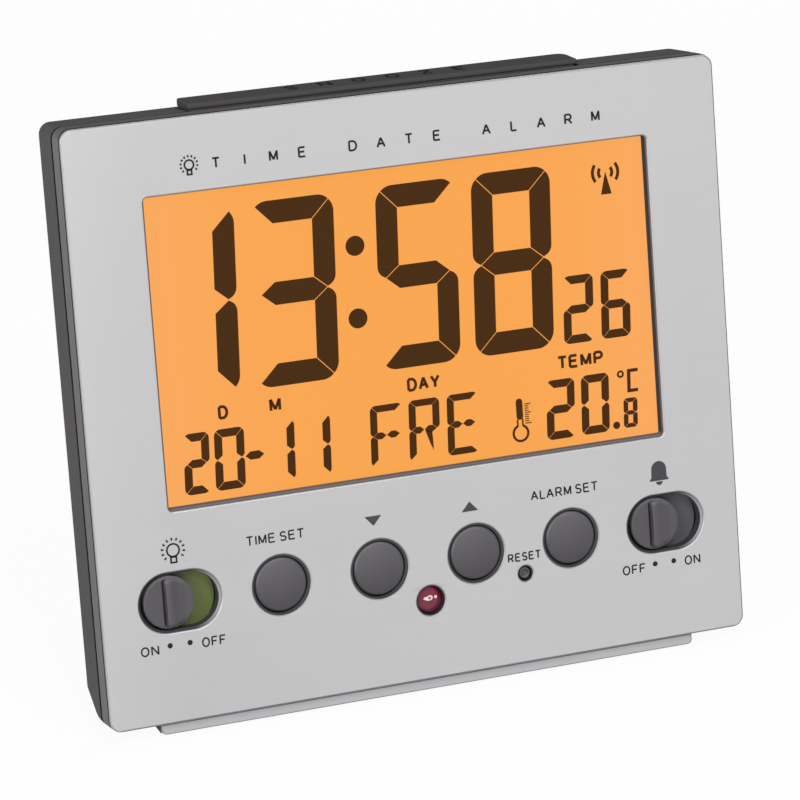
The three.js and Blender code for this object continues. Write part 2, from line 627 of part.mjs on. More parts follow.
// Rear cover: a shallow shell with a sloping underside, joined to the rear box

const overWall = plateTop + past;
const undersideCut = profile([
  [coverFront - past, plateBottom - past * undersideSlope],
  [coverBack + past, undersideEnd + past * undersideSlope],
  [coverBack + past, plateBottom - overWall],
], both(plateSide + past));
const innerRise = CASE_WALL / Math.cos(THREE.MathUtils.degToRad(UNDERSIDE_DEGREES));
const slab = cut(sheet(caseOutline, [coverFront, coverBack]), undersideCut);
const slabInside = cut(
  sheet(insideWall, [coverFront - past, coverInside]), undersideCut.clone().translate(0, 0, innerRise));
const boxRoot = coverInside + CASE_WALL / 2;
const boxTopZ = plateTop - BOX_TOP_DROP;
const boxSide = profile([
  onTable(boxRoot, undersideEnd), [rearWall, boxBottom], [rearWall, pocketTop + BOX_SHOULDER],
  onTable(boxRoot, boxTopZ),
], both(boxHalf));
const boxPlan = extrude(roundedRectangle(both(boxHalf), [-rearWall, rearWall], BOX_CORNER), plateHeight);
const boxInside = profile([
  onTable(bossEnd, boardLow), [pocketFront, pocketBottom], [pocketFront, pocketTop],
  onTable(bossEnd, boxTopZ - 3 * CASE_WALL),
], both(pocketHalf));
const pocket = box(both(pocketHalf), [pocketFloor, rearWall + past], [pocketBottom, pocketTop]);
const recess = DOOR_LEDGE + CLEARANCE;
const doorRecess = sheet(
  roundedRectangle(both(pocketHalf + recess), [pocketBottom - recess, pocketTop + recess], DOOR_CORNER),
  [doorSeat, rearWall + past]);
const fingerNotch = rod(FINGER_NOTCH_RADIUS, [doorSeat, rearWall + past], 0, pocketTop + recess, ROUND);
const screwHeight = boxBottom + BASE_SCREW_GRIP;
const BASE_SCREWS = [
  { name: 'base_screw_left', x: -BASE_SCREW_SPREAD },
  { name: 'base_screw_right', x: BASE_SCREW_SPREAD },
];
const baseHoles = BASE_SCREWS.map(({ x }) => uprightRod(
  bossHole, [boxBottom - past, screwHeight + CLEARANCE], x, cellDepth));
const rodHeight = pocketBottom + ROD_RISE;
const saddleFront = pocketFront - COIL_THICKNESS - 2 * CLEARANCE;
const rodDepth = saddleFront - CLEARANCE - ROD_RADIUS;
const saddles = [-1, 1].map((side) => box(
  around(side * (ROD_LENGTH / 2 - SADDLE_WIDTH), SADDLE_WIDTH / 2),
  [saddleFront, pocketFloor - CLEARANCE], around(rodHeight, ROD_RADIUS)));
const snoozeSlot = box(
  around(SNOOZE_SHIFT, snoozeSide + CLEARANCE), [coverFront - past, snoozeBack + CLEARANCE],
  [plateTop - 2 * past, overWall]);
const headSeat = coverBack - SCREW_HEAD_HEIGHT;
const screwHoles = BOSSES.flatMap(({ x, z }) => [
  rod(bossHole, [coverInside - past, coverBack + past], x, z),
  rod(SCREW_HEAD_RADIUS + CLEARANCE, [headSeat - CLEARANCE, coverBack + past], x, z),
]);
const soundSlots = Array.from({ length: SOUND_SLOTS }, (_, i) => {
  const top = plateTop - SOUND_SLOT_DROP - i * SOUND_SLOT_PITCH;
  const heights = [top - SOUND_SLOT_HEIGHT, top];
  return box(both(SOUND_SLOT_LENGTH / 2), [coverInside - past, coverBack + past], heights);
});
const inCase = (geometries) => geometries.map((geometry) => geometry.applyMatrix4(toCase));
const [rearBox] = inCase([common(boxSide, boxPlan)]);
const coverShell = cut(
  join(slab, rearBox), slabInside, snoozeSlot, ...screwHoles, ...soundSlots,
  ...inCase([boxInside, pocket, doorRecess, fingerNotch, ...baseHoles]));
add('rear_cover', join(coverShell, ...inCase(saddles)), 'dark');
for (const { name, x, z } of BOSSES) {
  const headEnd = coverBack - CLEARANCE;
  add(name, turned([
    [0, screwTip], [SCREW_RADIUS, screwTip], [SCREW_RADIUS, headSeat], [SCREW_HEAD_RADIUS, headSeat],
    [SCREW_HEAD_RADIUS, headEnd], [0, headEnd],
  ], x, z, SMALL_ROUND), 'steel');
}

// Antenna on the rear cover's saddles

const coilInside = ROD_RADIUS + CLEARANCE;
const winding = crossRod(coilInside + COIL_THICKNESS, both(COIL_LENGTH / 2), rodDepth, rodHeight, ROUND);
add('ferrite_rod', crossRod(ROD_RADIUS, both(ROD_LENGTH / 2), rodDepth, rodHeight), 'ferrite', standing);
add('antenna_coil', cut(
  winding, crossRod(coilInside, both(COIL_LENGTH), rodDepth, rodHeight, ROUND)), 'copper', standing);

// Two cells in opposite directions, each between a coil spring and a plate

class SpringCurve extends THREE.Curve {
  constructor(start, direction, y, z) {
    super();
    Object.assign(this, { start, direction, y, z });
  }

  getPoint(t) {
    const angle = 2 * Math.PI * SPRING_TURNS * t;
    const radius = SPRING_WIDE + (SPRING_NARROW - SPRING_WIDE) * t;
    const along = SPRING_WIRE / 2 + (SPRING_LENGTH - SPRING_WIRE) * t;
    const x = this.start + this.direction * along;
    return new THREE.Vector3(x, this.y + radius * Math.cos(angle), this.z + radius * Math.sin(angle));
  }
}

const springSteps = SPRING_TURNS * STEPS_PER_TURN;

function coilSpring(curve) {
  const section = outline(Array.from({ length: WIRE_SIDES }, (_, i) => {
    const angle = 2 * Math.PI * i / WIRE_SIDES;
    return [Math.cos(angle) * SPRING_WIRE / 2, Math.sin(angle) * SPRING_WIRE / 2];
  }));
  return new THREE.ExtrudeGeometry(section, { steps: springSteps, extrudePath: curve, bevelEnabled: false });
}

// Least free gap between neighbouring turns of a spring
function leastGap(curve) {
  const points = Array.from({ length: springSteps + 1 }, (_, i) => curve.getPoint(i / springSteps));
  const gaps = points.slice(STEPS_PER_TURN).map((point, i) => point.distanceTo(points[i]) - SPRING_WIRE);
  return Math.min(...gaps);
}

const CELLS = [
  { name: 'lower', z: lowCell, plus: -1 },
  { name: 'upper', z: highCell, plus: 1 },
];
for (const { name, z, plus } of CELLS) {
  const wallFace = pocketHalf - CLEARANCE;
  const contactFace = wallFace - CONTACT_THICKNESS;
  const tip = contactFace - CLEARANCE;
  const shoulder = tip - CELL_NUB_LENGTH;
  const towardsPlus = (a, b) => [plus * a, plus * b].sort((left, right) => left - right);
  const can = crossRod(cellRadius, towardsPlus(tip - CELL_LENGTH, shoulder), cellDepth, z, ROUND);
  const nub = crossRod(CELL_NUB_RADIUS, towardsPlus(shoulder - CELL_NUB_LENGTH, tip), cellDepth, z);
  add(`cell_${name}`, join(can, nub), 'jacket', standing);
  const contactHalf = CONTACT_SIZE / 2;
  add(`plus_contact_${name}`, box(
    towardsPlus(contactFace, wallFace), around(cellDepth, contactHalf), around(z, contactHalf),
  ), 'steel', standing);
  const curve = new SpringCurve(-plus * wallFace, plus, cellDepth, z);
  add(`minus_spring_${name}`, coilSpring(curve), 'steel', standing);
  console.log(`minus_spring_${name}: least gap between turns ${leastGap(curve).toFixed(2)} mm`);
}

// Battery door, lifted out at the finger notch

const doorOutline = roundedRectangle(
  both(pocketHalf + DOOR_LEDGE), [pocketBottom - DOOR_LEDGE, pocketTop + DOOR_LEDGE], DOOR_CORNER);
add('battery_door', sheet(doorOutline, [doorFront, rearWall]), 'dark', standing);

// Base under the case: silver strip in front, rubber pads and screws below

const trimSide = FOOT_WIDTH / 2;
const trimBack = FOOT_SETBACK + TRIM_THICKNESS;
const trimOutline = new THREE.Shape();
trimOutline.moveTo(trimSide, footTop);
trimOutline.lineTo(-trimSide, footTop);
trimOutline.absarc(-trimSide + TRIM_CORNER, footBottom + TRIM_CORNER, TRIM_CORNER, Math.PI, 1.5 * Math.PI);
trimOutline.absarc(trimSide - TRIM_CORNER, footBottom + TRIM_CORNER, TRIM_CORNER, 1.5 * Math.PI, 2 * Math.PI);
add('foot_trim', sheet(trimOutline, [FOOT_SETBACK, trimBack]), 'silver');

const baseFace = trimBack + CLEARANCE;
const [baseFront] = onTable(baseFace, footBottom);
const [caseEdge] = onTable(coverBack, undersideEnd);
const baseTop = boxBottom - CLEARANCE;
const baseSide = profile([
  [baseFront, PAD_PROUD], [rearWall, PAD_PROUD], [rearWall, baseTop], [caseEdge, baseTop],
  onTable(coverFront, footTop), onTable(baseFace, footTop),
], both(trimSide));
const basePlan = new THREE.Shape();
basePlan.moveTo(-trimSide, -past);
basePlan.lineTo(trimSide, -past);
basePlan.lineTo(trimSide, caseEdge);
basePlan.absarc(boxHalf - BOX_CORNER, rearWall - BOX_CORNER, BOX_CORNER, 0, Math.PI / 2);
basePlan.absarc(-boxHalf + BOX_CORNER, rearWall - BOX_CORNER, BOX_CORNER, Math.PI / 2, Math.PI);
basePlan.lineTo(-trimSide, caseEdge);
const PADS = [
  { name: 'pad_front_left', x: -trimSide + PAD_SIDE_INSET, y: baseFront + PAD_FRONT_INSET },
  { name: 'pad_front_right', x: trimSide - PAD_SIDE_INSET, y: baseFront + PAD_FRONT_INSET },
  { name: 'pad_rear_left', x: -boxHalf + PAD_SIDE_INSET, y: rearWall - PAD_REAR_INSET },
  { name: 'pad_rear_right', x: boxHalf - PAD_SIDE_INSET, y: rearWall - PAD_REAR_INSET },
];
const padPockets = PADS.map(({ x, y }) => uprightRod(
  PAD_RADIUS + CLEARANCE, [-past, PAD_THICKNESS + CLEARANCE], x, y, ROUND));
const headBottom = PAD_PROUD + CLEARANCE;
const headTop = headBottom + SCREW_HEAD_HEIGHT;
const baseScrewHoles = BASE_SCREWS.flatMap(({ x }) => [
  uprightRod(bossHole, [-past, baseTop + past], x, cellDepth),
  uprightRod(SCREW_HEAD_RADIUS + CLEARANCE, [-past, headTop + CLEARANCE], x, cellDepth),
]);
const baseBlank = common(baseSide, extrude(basePlan, baseTop + past));
add('base', cut(baseBlank, ...padPockets, ...baseScrewHoles), 'dark', standing);
for (const { name, x, y } of PADS) {
  add(name, uprightRod(PAD_RADIUS, [0, PAD_THICKNESS], x, y, ROUND), 'rubber', standing);
}
for (const { name, x } of BASE_SCREWS) {
  const shank = uprightRod(SCREW_RADIUS, [headBottom, screwHeight], x, cellDepth);
  const head = uprightRod(SCREW_HEAD_RADIUS, [headBottom, headTop], x, cellDepth);
  add(name, join(shank, head), 'steel', standing);
}

export default clock;
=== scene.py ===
# %% [markdown]
# # A radio-controlled alarm clock
# This lesson dresses the clock's solids for a photograph. The solids say where every piece is;
# here they get finer edges, real finishes, a lit display and printed labels.
# The first cell loads them and keeps their overall box, to set beside the dressed clock's box at the end.

import math

import bmesh
import bpy
from mathutils import Matrix, Vector


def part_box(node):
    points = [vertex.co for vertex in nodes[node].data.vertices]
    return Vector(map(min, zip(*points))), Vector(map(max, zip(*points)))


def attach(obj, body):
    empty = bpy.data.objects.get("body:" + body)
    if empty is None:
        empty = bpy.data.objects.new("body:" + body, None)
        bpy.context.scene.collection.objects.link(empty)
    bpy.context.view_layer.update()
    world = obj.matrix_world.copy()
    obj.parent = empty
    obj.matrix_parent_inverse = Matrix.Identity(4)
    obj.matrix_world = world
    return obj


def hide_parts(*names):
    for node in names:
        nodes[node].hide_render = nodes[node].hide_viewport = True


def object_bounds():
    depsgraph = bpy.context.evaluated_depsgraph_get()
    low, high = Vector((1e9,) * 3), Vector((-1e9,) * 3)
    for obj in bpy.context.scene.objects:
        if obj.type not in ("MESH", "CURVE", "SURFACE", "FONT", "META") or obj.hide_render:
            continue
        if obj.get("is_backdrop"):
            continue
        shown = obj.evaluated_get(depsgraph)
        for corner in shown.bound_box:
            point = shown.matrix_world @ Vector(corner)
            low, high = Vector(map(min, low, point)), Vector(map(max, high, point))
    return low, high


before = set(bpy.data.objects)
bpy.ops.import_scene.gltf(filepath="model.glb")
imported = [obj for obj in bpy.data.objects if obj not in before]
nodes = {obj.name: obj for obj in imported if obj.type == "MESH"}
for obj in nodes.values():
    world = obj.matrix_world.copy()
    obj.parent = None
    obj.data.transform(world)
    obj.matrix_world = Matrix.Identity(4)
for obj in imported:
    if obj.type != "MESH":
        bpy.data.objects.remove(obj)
cad_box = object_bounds()

# %% [markdown]
# ## Camera and stage
# A long lens from the front left, a little above the clock, keeps the front plate nearly flat in
# the picture. The camera comes first, so every later choice can be judged from the same place.

# %% Camera
scene = bpy.context.scene
scene.view_settings.view_transform = "Standard"
camera_data = bpy.data.cameras.new("camera")
camera_data.lens = 186.98
camera_data.sensor_width = 36.0
camera = bpy.data.objects.new("camera", camera_data)
camera.location = (-0.213138, -0.527209, 0.261331)
camera.rotation_euler = [math.radians(angle) for angle in (68.6466, -0.0748, -22.1974)]
scene.collection.objects.link(camera)
scene.camera = camera
print("camera at", [round(value, 3) for value in camera.location])

# %% [markdown]
# ## Shader sums as Python sums
# A finish is a small web of nodes. Wired by hand, the maths in it is hard to read, so one class
# wraps a node's output and turns `1 - mask` or `grain * 0.2` into Math nodes. Another class
# holds the material and adds every other kind of node.

# %% Sums on sockets
class Value:
    """The output of a node. Sums on it add Math nodes to the same tree."""

    def __init__(self, finish, socket):
        self.finish = finish
        self.socket = socket

    def __add__(self, other):
        return self.finish.maths("ADD", self, other)

    def __sub__(self, other):
        return self.finish.maths("SUBTRACT", self, other)

    def __rsub__(self, other):
        return self.finish.maths("SUBTRACT", other, self)

    def __mul__(self, other):
        return self.finish.maths("MULTIPLY", self, other)

    def __pow__(self, other):
        return self.finish.maths("POWER", self, other)

    def __gt__(self, other):
        return self.finish.maths("GREATER_THAN", self, other)

    __radd__ = __add__
    __rmul__ = __mul__


print("sums on sockets: +, -, *, ** and >")

# %% [markdown]
# ## A finish and its nodes
# Each finish starts from an empty tree. One method adds any node: it takes the kind, the settings
# and what goes into the sockets, which is either a plain value or the output of another node. The
# noise, mix and bump that most finishes need are short calls of that method.

# %% Finishes
class Finish:
    """A material (or the world) and its nodes."""

    def __init__(self, owner):
        owner.use_nodes = True
        self.owner = owner
        self.tree = owner.node_tree
        self.tree.nodes.clear()

    def node(self, kind, settings=None, inputs=None, output=0):
        """Adds one node, sets it, then fills or links its sockets."""
        made = self.tree.nodes.new(kind)
        for key, value in (settings or {}).items():
            setattr(made, key, value)
        for key, value in (inputs or {}).items():
            if isinstance(value, Value):
                self.tree.links.new(value.socket, made.inputs[key])
            else:
                made.inputs[key].default_value = value
        return Value(self, made.outputs[output]) if made.outputs else None

    def maths(self, operation, *values):
        """A Math node with these values as its inputs."""
        return self.node("ShaderNodeMath", {"operation": operation}, dict(enumerate(values)))

    def place(self, stretch=(1.0, 1.0, 1.0)):
        """Position on the clock in millimetres, stretched to taste."""
        at = self.node("ShaderNodeTexCoord", output="Object")
        scale = [1000.0 * factor for factor in stretch]
        return self.node("ShaderNodeVectorMath", {"operation": "MULTIPLY"}, {0: at, 1: scale})

    def coordinate(self, axis):
        """One of the position's X, Y and Z, in millimetres."""
        return self.node("ShaderNodeSeparateXYZ", None, {0: self.place()}, output=axis)

    def noise(self, size, stretch=(1.0, 1.0, 1.0), detail=3.0):
        """Cloudy grain from 0 to 1, with features about `size` millimetres across."""
        sockets = {"Vector": self.place(stretch), "Scale": 1.0 / size, "Detail": detail}
        return self.node("ShaderNodeTexNoise", None, sockets)

    def mix(self, mask, first, second):
        """Colour that goes from first to second as mask goes from 0 to 1."""
        sockets = {0: mask, 6: first, 7: second}
        return self.node("ShaderNodeMix", {"data_type": "RGBA"}, sockets, output=2)

    def clamp(self, value):
        """The value, kept between 0 and 1."""
        return self.node("ShaderNodeClamp", None, {"Value": value})

    def within(self, value, target, reach):
        """1 where value is within reach of the target."""
        return self.maths("COMPARE", value, target, reach)

    def along(self, direction):
        """How far the surface faces a direction: 1 straight towards it, -1 away from it."""
        normal = self.node("ShaderNodeNewGeometry", output="Normal")
        sockets = {0: normal, 1: direction}
        return self.node("ShaderNodeVectorMath", {"operation": "DOT_PRODUCT"}, sockets, output="Value")

    def bump(self, height, depth):
        """A normal that rises by `depth` millimetres where height is 1."""
        sockets = {"Height": height, "Distance": 0.001 * depth, "Strength": 1.0}
        return self.node("ShaderNodeBump", None, sockets)

    def surface(self, shader, target="ShaderNodeOutputMaterial"):
        """Ends the tree with the shader, and gives the finished material."""
        self.node(target, None, {"Surface": shader})
        return self.owner


print("finishes:", [name for name in vars(Finish) if not name.startswith("_")])

# %% [markdown]
# ## Colours and the main shader
# Colours here are written as they look on a screen, and Blender wants them linear. All solid
# finishes use the Principled shader, so a short function names only the sockets that matter.

# %% Colours and shader
def colour(red, green, blue):
    """A colour given as it looks on a screen, 0 to 255, made linear for the shader."""
    def linear(value):
        value /= 255.0
        return value / 12.92 if value <= 0.04045 else ((value + 0.055) / 1.055) ** 2.4
    return (linear(red), linear(green), linear(blue), 1.0)


def new_finish(name):
    """An empty material to build a finish in."""
    return Finish(bpy.data.materials.new(name))


def principled(finish, **sockets):
    """The finished material, from the sockets of the Principled shader that are set or linked."""
    named = {key.replace("_", " "): value for key, value in sockets.items()}
    return finish.surface(finish.node("ShaderNodeBsdfPrincipled", None, named))


print("mid grey is", round(colour(128, 128, 128)[0], 3), "in linear light")

# %% [markdown]
# ## Floor and light
# The clock stands on a plain white floor. Seen by the camera or in a reflection, floor and world
# glow at a strength of one, which is white, while their light on the clock stays at a plain level.
# Stronger lamps would make them white too, but would bleach the clock. A little of the real floor
# is left in the mix, so that the clock's soft shadow still shows.

# %% Floor and world
WHITE = (1.0, 1.0, 1.0, 1.0)
PALE = (0.9, 0.9, 0.9, 1.0)
FLOOR_GLOW = 0.95
FLOOR_HALF = 6.0
STUDIO_LEVEL = 0.22


def seen_directly(finish):
    """1 for rays from the camera, a reflection or through glass."""
    rays = [finish.node("ShaderNodeLightPath", output=name)
            for name in ("Is Camera Ray", "Is Glossy Ray", "Is Transmission Ray")]
    return finish.clamp(rays[0] + rays[1] + rays[2])


floor_paint = new_finish("floor_white")
floor_matt = floor_paint.node("ShaderNodeBsdfDiffuse", None, {"Color": PALE})
floor_white = floor_paint.node("ShaderNodeEmission", None, {"Color": WHITE, "Strength": 1.0})
floor_mix = floor_paint.node("ShaderNodeMixShader", None, {
    0: seen_directly(floor_paint) * FLOOR_GLOW, 1: floor_matt, 2: floor_white})
floor_paint.surface(floor_mix)

bm = bmesh.new()
bmesh.ops.create_grid(bm, x_segments=2, y_segments=2, size=FLOOR_HALF)
floor_mesh = bpy.data.meshes.new("floor")
bm.to_mesh(floor_mesh)
bm.free()
floor_mesh.materials.append(floor_paint.owner)
floor = bpy.data.objects.new("floor", floor_mesh)
scene.collection.objects.link(floor)
floor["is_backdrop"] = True

world = bpy.data.worlds.new("studio")
scene.world = world
studio = Finish(world)
studio_light = studio.node("ShaderNodeBackground", None, {"Color": WHITE, "Strength": STUDIO_LEVEL})
studio_white = studio.node("ShaderNodeBackground", None, {"Color": WHITE, "Strength": 1.0})
studio_mix = studio.node("ShaderNodeMixShader", None, {
    0: seen_directly(studio), 1: studio_light, 2: studio_white})
studio.surface(studio_mix, "ShaderNodeOutputWorld")
print("floor", 2 * FLOOR_HALF, "m wide, world at", STUDIO_LEVEL)

# %% [markdown]
# ## Softboxes
# Three round softboxes aim at the middle of the clock. The one on the left lights the side of the
# case, the one in front the plate and the tops, and a weak one behind keeps the back from going
# black. A picture of a studio could light the clock too, but lamps are easier to aim and need no file.

# %% Softboxes
SOFTBOX_SIZE = 0.5
CLOCK_MIDDLE = Vector((0.0, 0.0, 0.045))
softboxes = [("left", Vector((-0.85, -0.60, 0.35)), 7.0),
             ("front", Vector((0.05, -0.70, 0.85)), 5.5),
             ("back", Vector((0.45, 0.85, 0.40)), 3.0)]
for side, place, power in softboxes:
    lamp = bpy.data.lights.new(f"softbox_{side}", "AREA")
    lamp.shape = "DISK"
    lamp.size = SOFTBOX_SIZE
    lamp.energy = power
    holder = bpy.data.objects.new(lamp.name, lamp)
    holder.location = place
    holder.rotation_euler = (CLOCK_MIDDLE - place).to_track_quat("-Z", "Y").to_euler()
    scene.collection.objects.link(holder)
    print(lamp.name, power, "W")

# %% [markdown]
# ## The leaning case as a drawing board
# The case leans back. Shapes on it are easiest to draw as if it stood straight, in millimetres:
# x to the right, y into the case, z up the plate, with zero in the middle of the plate's face.
# One matrix then leans a finished mesh into its place. Pieces behind and below stand upright.

# %% Drawing boards
TILT = math.radians(11.0)
PLATE_TOP = 43.2
MILLIMETRES = Matrix.Scale(0.001, 4)
front_low, front_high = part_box("front_plate")
lean_y = front_low.y + 0.001 * PLATE_TOP * math.sin(TILT)
lean_z = front_high.z - 0.001 * PLATE_TOP * math.cos(TILT)
LEANING = (Matrix.Translation((0.0, lean_y, lean_z))
           @ Matrix.Rotation(-TILT, 4, "X") @ MILLIMETRES)
STANDING = MILLIMETRES


def extent(node, board):
    """Lowest and highest corner of a solid, in millimetres on a drawing board."""
    back = board.inverted()
    points = [back @ corner.co for corner in nodes[node].data.vertices]
    low = Vector([min(point[axis] for point in points) for axis in range(3)])
    high = Vector([max(point[axis] for point in points) for axis in range(3)])
    return low, high


def middle(node, board):
    """The middle of a solid's box on a drawing board."""
    low, high = extent(node, board)
    return (low + high) / 2.0


print("plate", [tuple(round(v, 2) for v in corner) for corner in extent("front_plate", LEANING)])

# %% [markdown]
# ## From a mesh to a piece
# Every new piece takes the same last steps: lean it into place, smooth its round faces but keep
# its edges, give it a finish, and let it ride on the body that carries it. Where it stands for a
# solid, that solid is hidden. Weighted normals keep large flat faces flat beside small round edges.

# %% Piece maker
EDGE_ANGLE = math.radians(38.0)


def smooth(thing):
    """Smooth shading up to the edge angle."""
    mesh = thing.data
    mesh.polygons.foreach_set("use_smooth", [True] * len(mesh.polygons))
    mesh.set_sharp_from_angle(angle=EDGE_ANGLE)
    normals = thing.modifiers.new("flat faces stay flat", "WEIGHTED_NORMAL")
    normals.keep_sharp = True


def piece(name, bm, board, finish, body="clock", stands_for=()):
    """A finished piece from a bmesh that was drawn on a board. stands_for names solids."""
    bmesh.ops.recalc_face_normals(bm, faces=bm.faces)
    mesh = bpy.data.meshes.new(name)
    bm.to_mesh(mesh)
    bm.free()
    mesh.transform(board)
    mesh.materials.append(finish)
    thing = bpy.data.objects.new(name, mesh)
    scene.collection.objects.link(thing)
    smooth(thing)
    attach(thing, body)
    if stands_for:
        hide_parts(*stands_for)
    print(f"{name}: {len(mesh.polygons)} faces on {body}")
    return thing


print("edges sharper than", round(math.degrees(EDGE_ANGLE)), "degrees stay sharp")

# %% [markdown]
# ## Outlines
# Most of the clock's shapes start as a flat outline: circles, rounded rectangles, and slots with
# round ends. All three are arcs joined by straight lines, so one function for an arc serves them.

# %% Outlines
CORNER_STEPS = 12
ROUND_STEPS = 72
QUARTER = math.pi / 2.0


def arc(x, z, radius, start, stop, steps):
    """Points on part of a circle."""
    turn = [start + (stop - start) * i / steps for i in range(steps + 1)]
    return [(x + radius * math.cos(a), z + radius * math.sin(a)) for a in turn]


def circle(x, z, radius, steps=ROUND_STEPS):
    """A closed circle."""
    return arc(x, z, radius, 0.0, 2.0 * math.pi, steps)[:-1]


def rounded_rectangle(x0, x1, z0, z1, radius, steps=CORNER_STEPS):
    """A rectangle with round corners."""
    corners = ((x1 - radius, z1 - radius), (x0 + radius, z1 - radius),
               (x0 + radius, z0 + radius), (x1 - radius, z0 + radius))
    points = []
    for i, (x, z) in enumerate(corners):
        points += arc(x, z, radius, i * QUARTER, (i + 1) * QUARTER, steps)
    return points


def stadium(x, z, length, height, steps=ROUND_STEPS // 2):
    """A slot with round ends."""
    reach = (length - height) / 2.0
    return (arc(x + reach, z, height / 2.0, -QUARTER, QUARTER, steps)
            + arc(x - reach, z, height / 2.0, QUARTER, 3.0 * QUARTER, steps))


print("a slot of 12 by 8 has", len(stadium(0.0, 0.0, 12.0, 8.0)), "points")

# %% [markdown]
# ## Sheets
# A sheet is cut from an outline with holes, and has a rounded edge all round. Bevelling a mesh with
# many holes is fragile, but Blender's 2D curves do exactly this, so the outlines become a filled
# curve and then a mesh. A sheet faces the front when drawn in x, z, and lies when drawn in x, y.

# %% Sheets
FACING = Matrix(((1, 0, 0, 0), (0, 0, -1, 0), (0, 1, 0, 0), (0, 0, 0, 1)))
LYING = Matrix.Identity(4)
WELD = 1e-4


def from_curve(curve, turn):
    """The mesh that a curve makes, turned from its own x, y plane, as a bmesh."""
    holder = bpy.data.objects.new("outline", curve)
    scene.collection.objects.link(holder)
    filled = holder.evaluated_get(bpy.context.evaluated_depsgraph_get())
    mesh = bpy.data.meshes.new_from_object(filled)
    bpy.data.objects.remove(holder)
    bpy.data.curves.remove(curve)
    bm = bmesh.new()
    bm.from_mesh(mesh)
    bpy.data.meshes.remove(mesh)
    bmesh.ops.remove_doubles(bm, verts=bm.verts, dist=WELD)
    bmesh.ops.transform(bm, matrix=turn, verts=bm.verts)
    return bm


def sheet(outlines, start, stop, edge, turn=FACING, edge_steps=3):
    """A sheet between two depths, cut to the first outline, with the others as holes."""
    curve = bpy.data.curves.new("outline", "CURVE")
    curve.dimensions = "2D"
    curve.fill_mode = "BOTH"
    curve.extrude = (stop - start) / 2.0 - edge
    curve.bevel_depth = edge
    curve.bevel_resolution = edge_steps - 1
    curve.offset = -edge
    for outline in outlines:
        spline = curve.splines.new("POLY")
        spline.points.add(len(outline) - 1)
        for point, (a, b) in zip(spline.points, outline):
            point.co = (a, b, 0.0, 1.0)
        spline.use_cyclic_u = True
    bm = from_curve(curve, turn)
    along = turn.to_3x3() @ Vector((0.0, 0.0, 1.0))
    along = Vector([abs(value) for value in along])
    bmesh.ops.translate(bm, vec=along * (start + stop) / 2.0, verts=bm.verts)
    return bm


print("sheets are welded at", WELD, "mm")

# %% [markdown]
# ## Turned shapes
# Buttons, pads and cells are round, so they are turned as on a lathe: half of the section is drawn
# as pairs of radius and depth, and is swung round an axis. Corners of a section are rounded first.

# %% Turned shapes
def soften(points, radii, steps=5):
    """An open line of points with some corners rounded. radii goes from place to radius."""
    line = []
    for i, point in enumerate(points):
        if i not in radii:
            line.append(point)
            continue
        here = Vector(point)
        before = (Vector(points[i - 1]) - here).normalized()
        after = (Vector(points[(i + 1) % len(points)]) - here).normalized()
        half = before.angle(after) / 2.0
        reach = radii[i] / math.tan(half)
        centre = here + (before + after).normalized() * radii[i] / math.sin(half)
        first, last = here + before * reach - centre, here + after * reach - centre
        for step in range(steps + 1):
            spoke = first.lerp(last, step / steps).normalized() * radii[i]
            line.append(tuple(centre + spoke))
    return line


def lathe(profile, x, z, steps=ROUND_STEPS, axis="y"):
    """A turned piece from pairs of radius and depth. It starts and ends on its own axis."""
    bm = bmesh.new()
    rings = []
    for radius, depth in profile:
        turns = [2.0 * math.pi * i / steps for i in range(steps)] if radius else [0.0]
        ring = []
        for a in turns:
            p, q = radius * math.cos(a), radius * math.sin(a)
            where = {"y": (x + p, depth, z + q), "x": (depth, x + p, z + q),
                     "z": (x + p, z + q, depth)}[axis]
            ring.append(bm.verts.new(where))
        rings.append(ring)
    for near, far in zip(rings, rings[1:]):
        for i in range(steps):
            a, b = near[i % len(near)], near[(i + 1) % len(near)]
            c, d = far[(i + 1) % len(far)], far[i % len(far)]
            corners = list(dict.fromkeys((a, b, c, d)))
            if len(corners) > 2:
                bm.faces.new(corners)
    return bm


print("turned pieces have", ROUND_STEPS, "sides unless they are small")

# %% [markdown]
# ## Silver sheet and silver paint
# The plate is thin aluminium, brushed from side to side. A picture of brushed metal would show its seams,
# so the brushing is noise drawn out along x: it tints the metal a little, and makes some lines rougher than
# others. Painted light lies in the plate's colour: it is lighter towards the top and to the right, with a
# painted pool of light at its far left end. The edges were punched and rolled over, and their colour is
# painted shade and painted highlight by the way they face: painted shade where they turn right and down,
# darkest on the outer edges, while edges inside the plate get paler painted light, above all where they
# face up. The strip on the foot is plastic with silver paint, whose flakes are a very fine noise; its edges
# get the same painted light and shade.

# %% Silver finishes
UP = (0.0, 0.0, 1.0)
PLATE_FRONT = (0.0, -math.cos(TILT), math.sin(TILT))
RIGHT_AND_DOWN = (0.97, 0.0, -0.25)
PLATE_MIDDLE = 1000.0 * lean_z
# Half the size of the field with the punched edges, and of the row of round holes in it.
PUNCHED_X, PUNCHED_Z = 46.0, 38.0
HOLES_X, HOLES_Z, HOLES_DROP = 30.0, 10.0, 27.0


def with_painted_edge_light(finish, face_tone, lit_edge, painted_shade_edge):
    """The colour of a face, and the painted highlights and painted shade of the edges that turn away from
    the front.
    """
    turned = finish.clamp((0.998 - finish.along(PLATE_FRONT)) * 30.0)
    shaded = finish.clamp(finish.along(RIGHT_AND_DOWN) * 1.6 + 0.15)
    return finish.mix(turned, face_tone, finish.mix(shaded, lit_edge, painted_shade_edge))


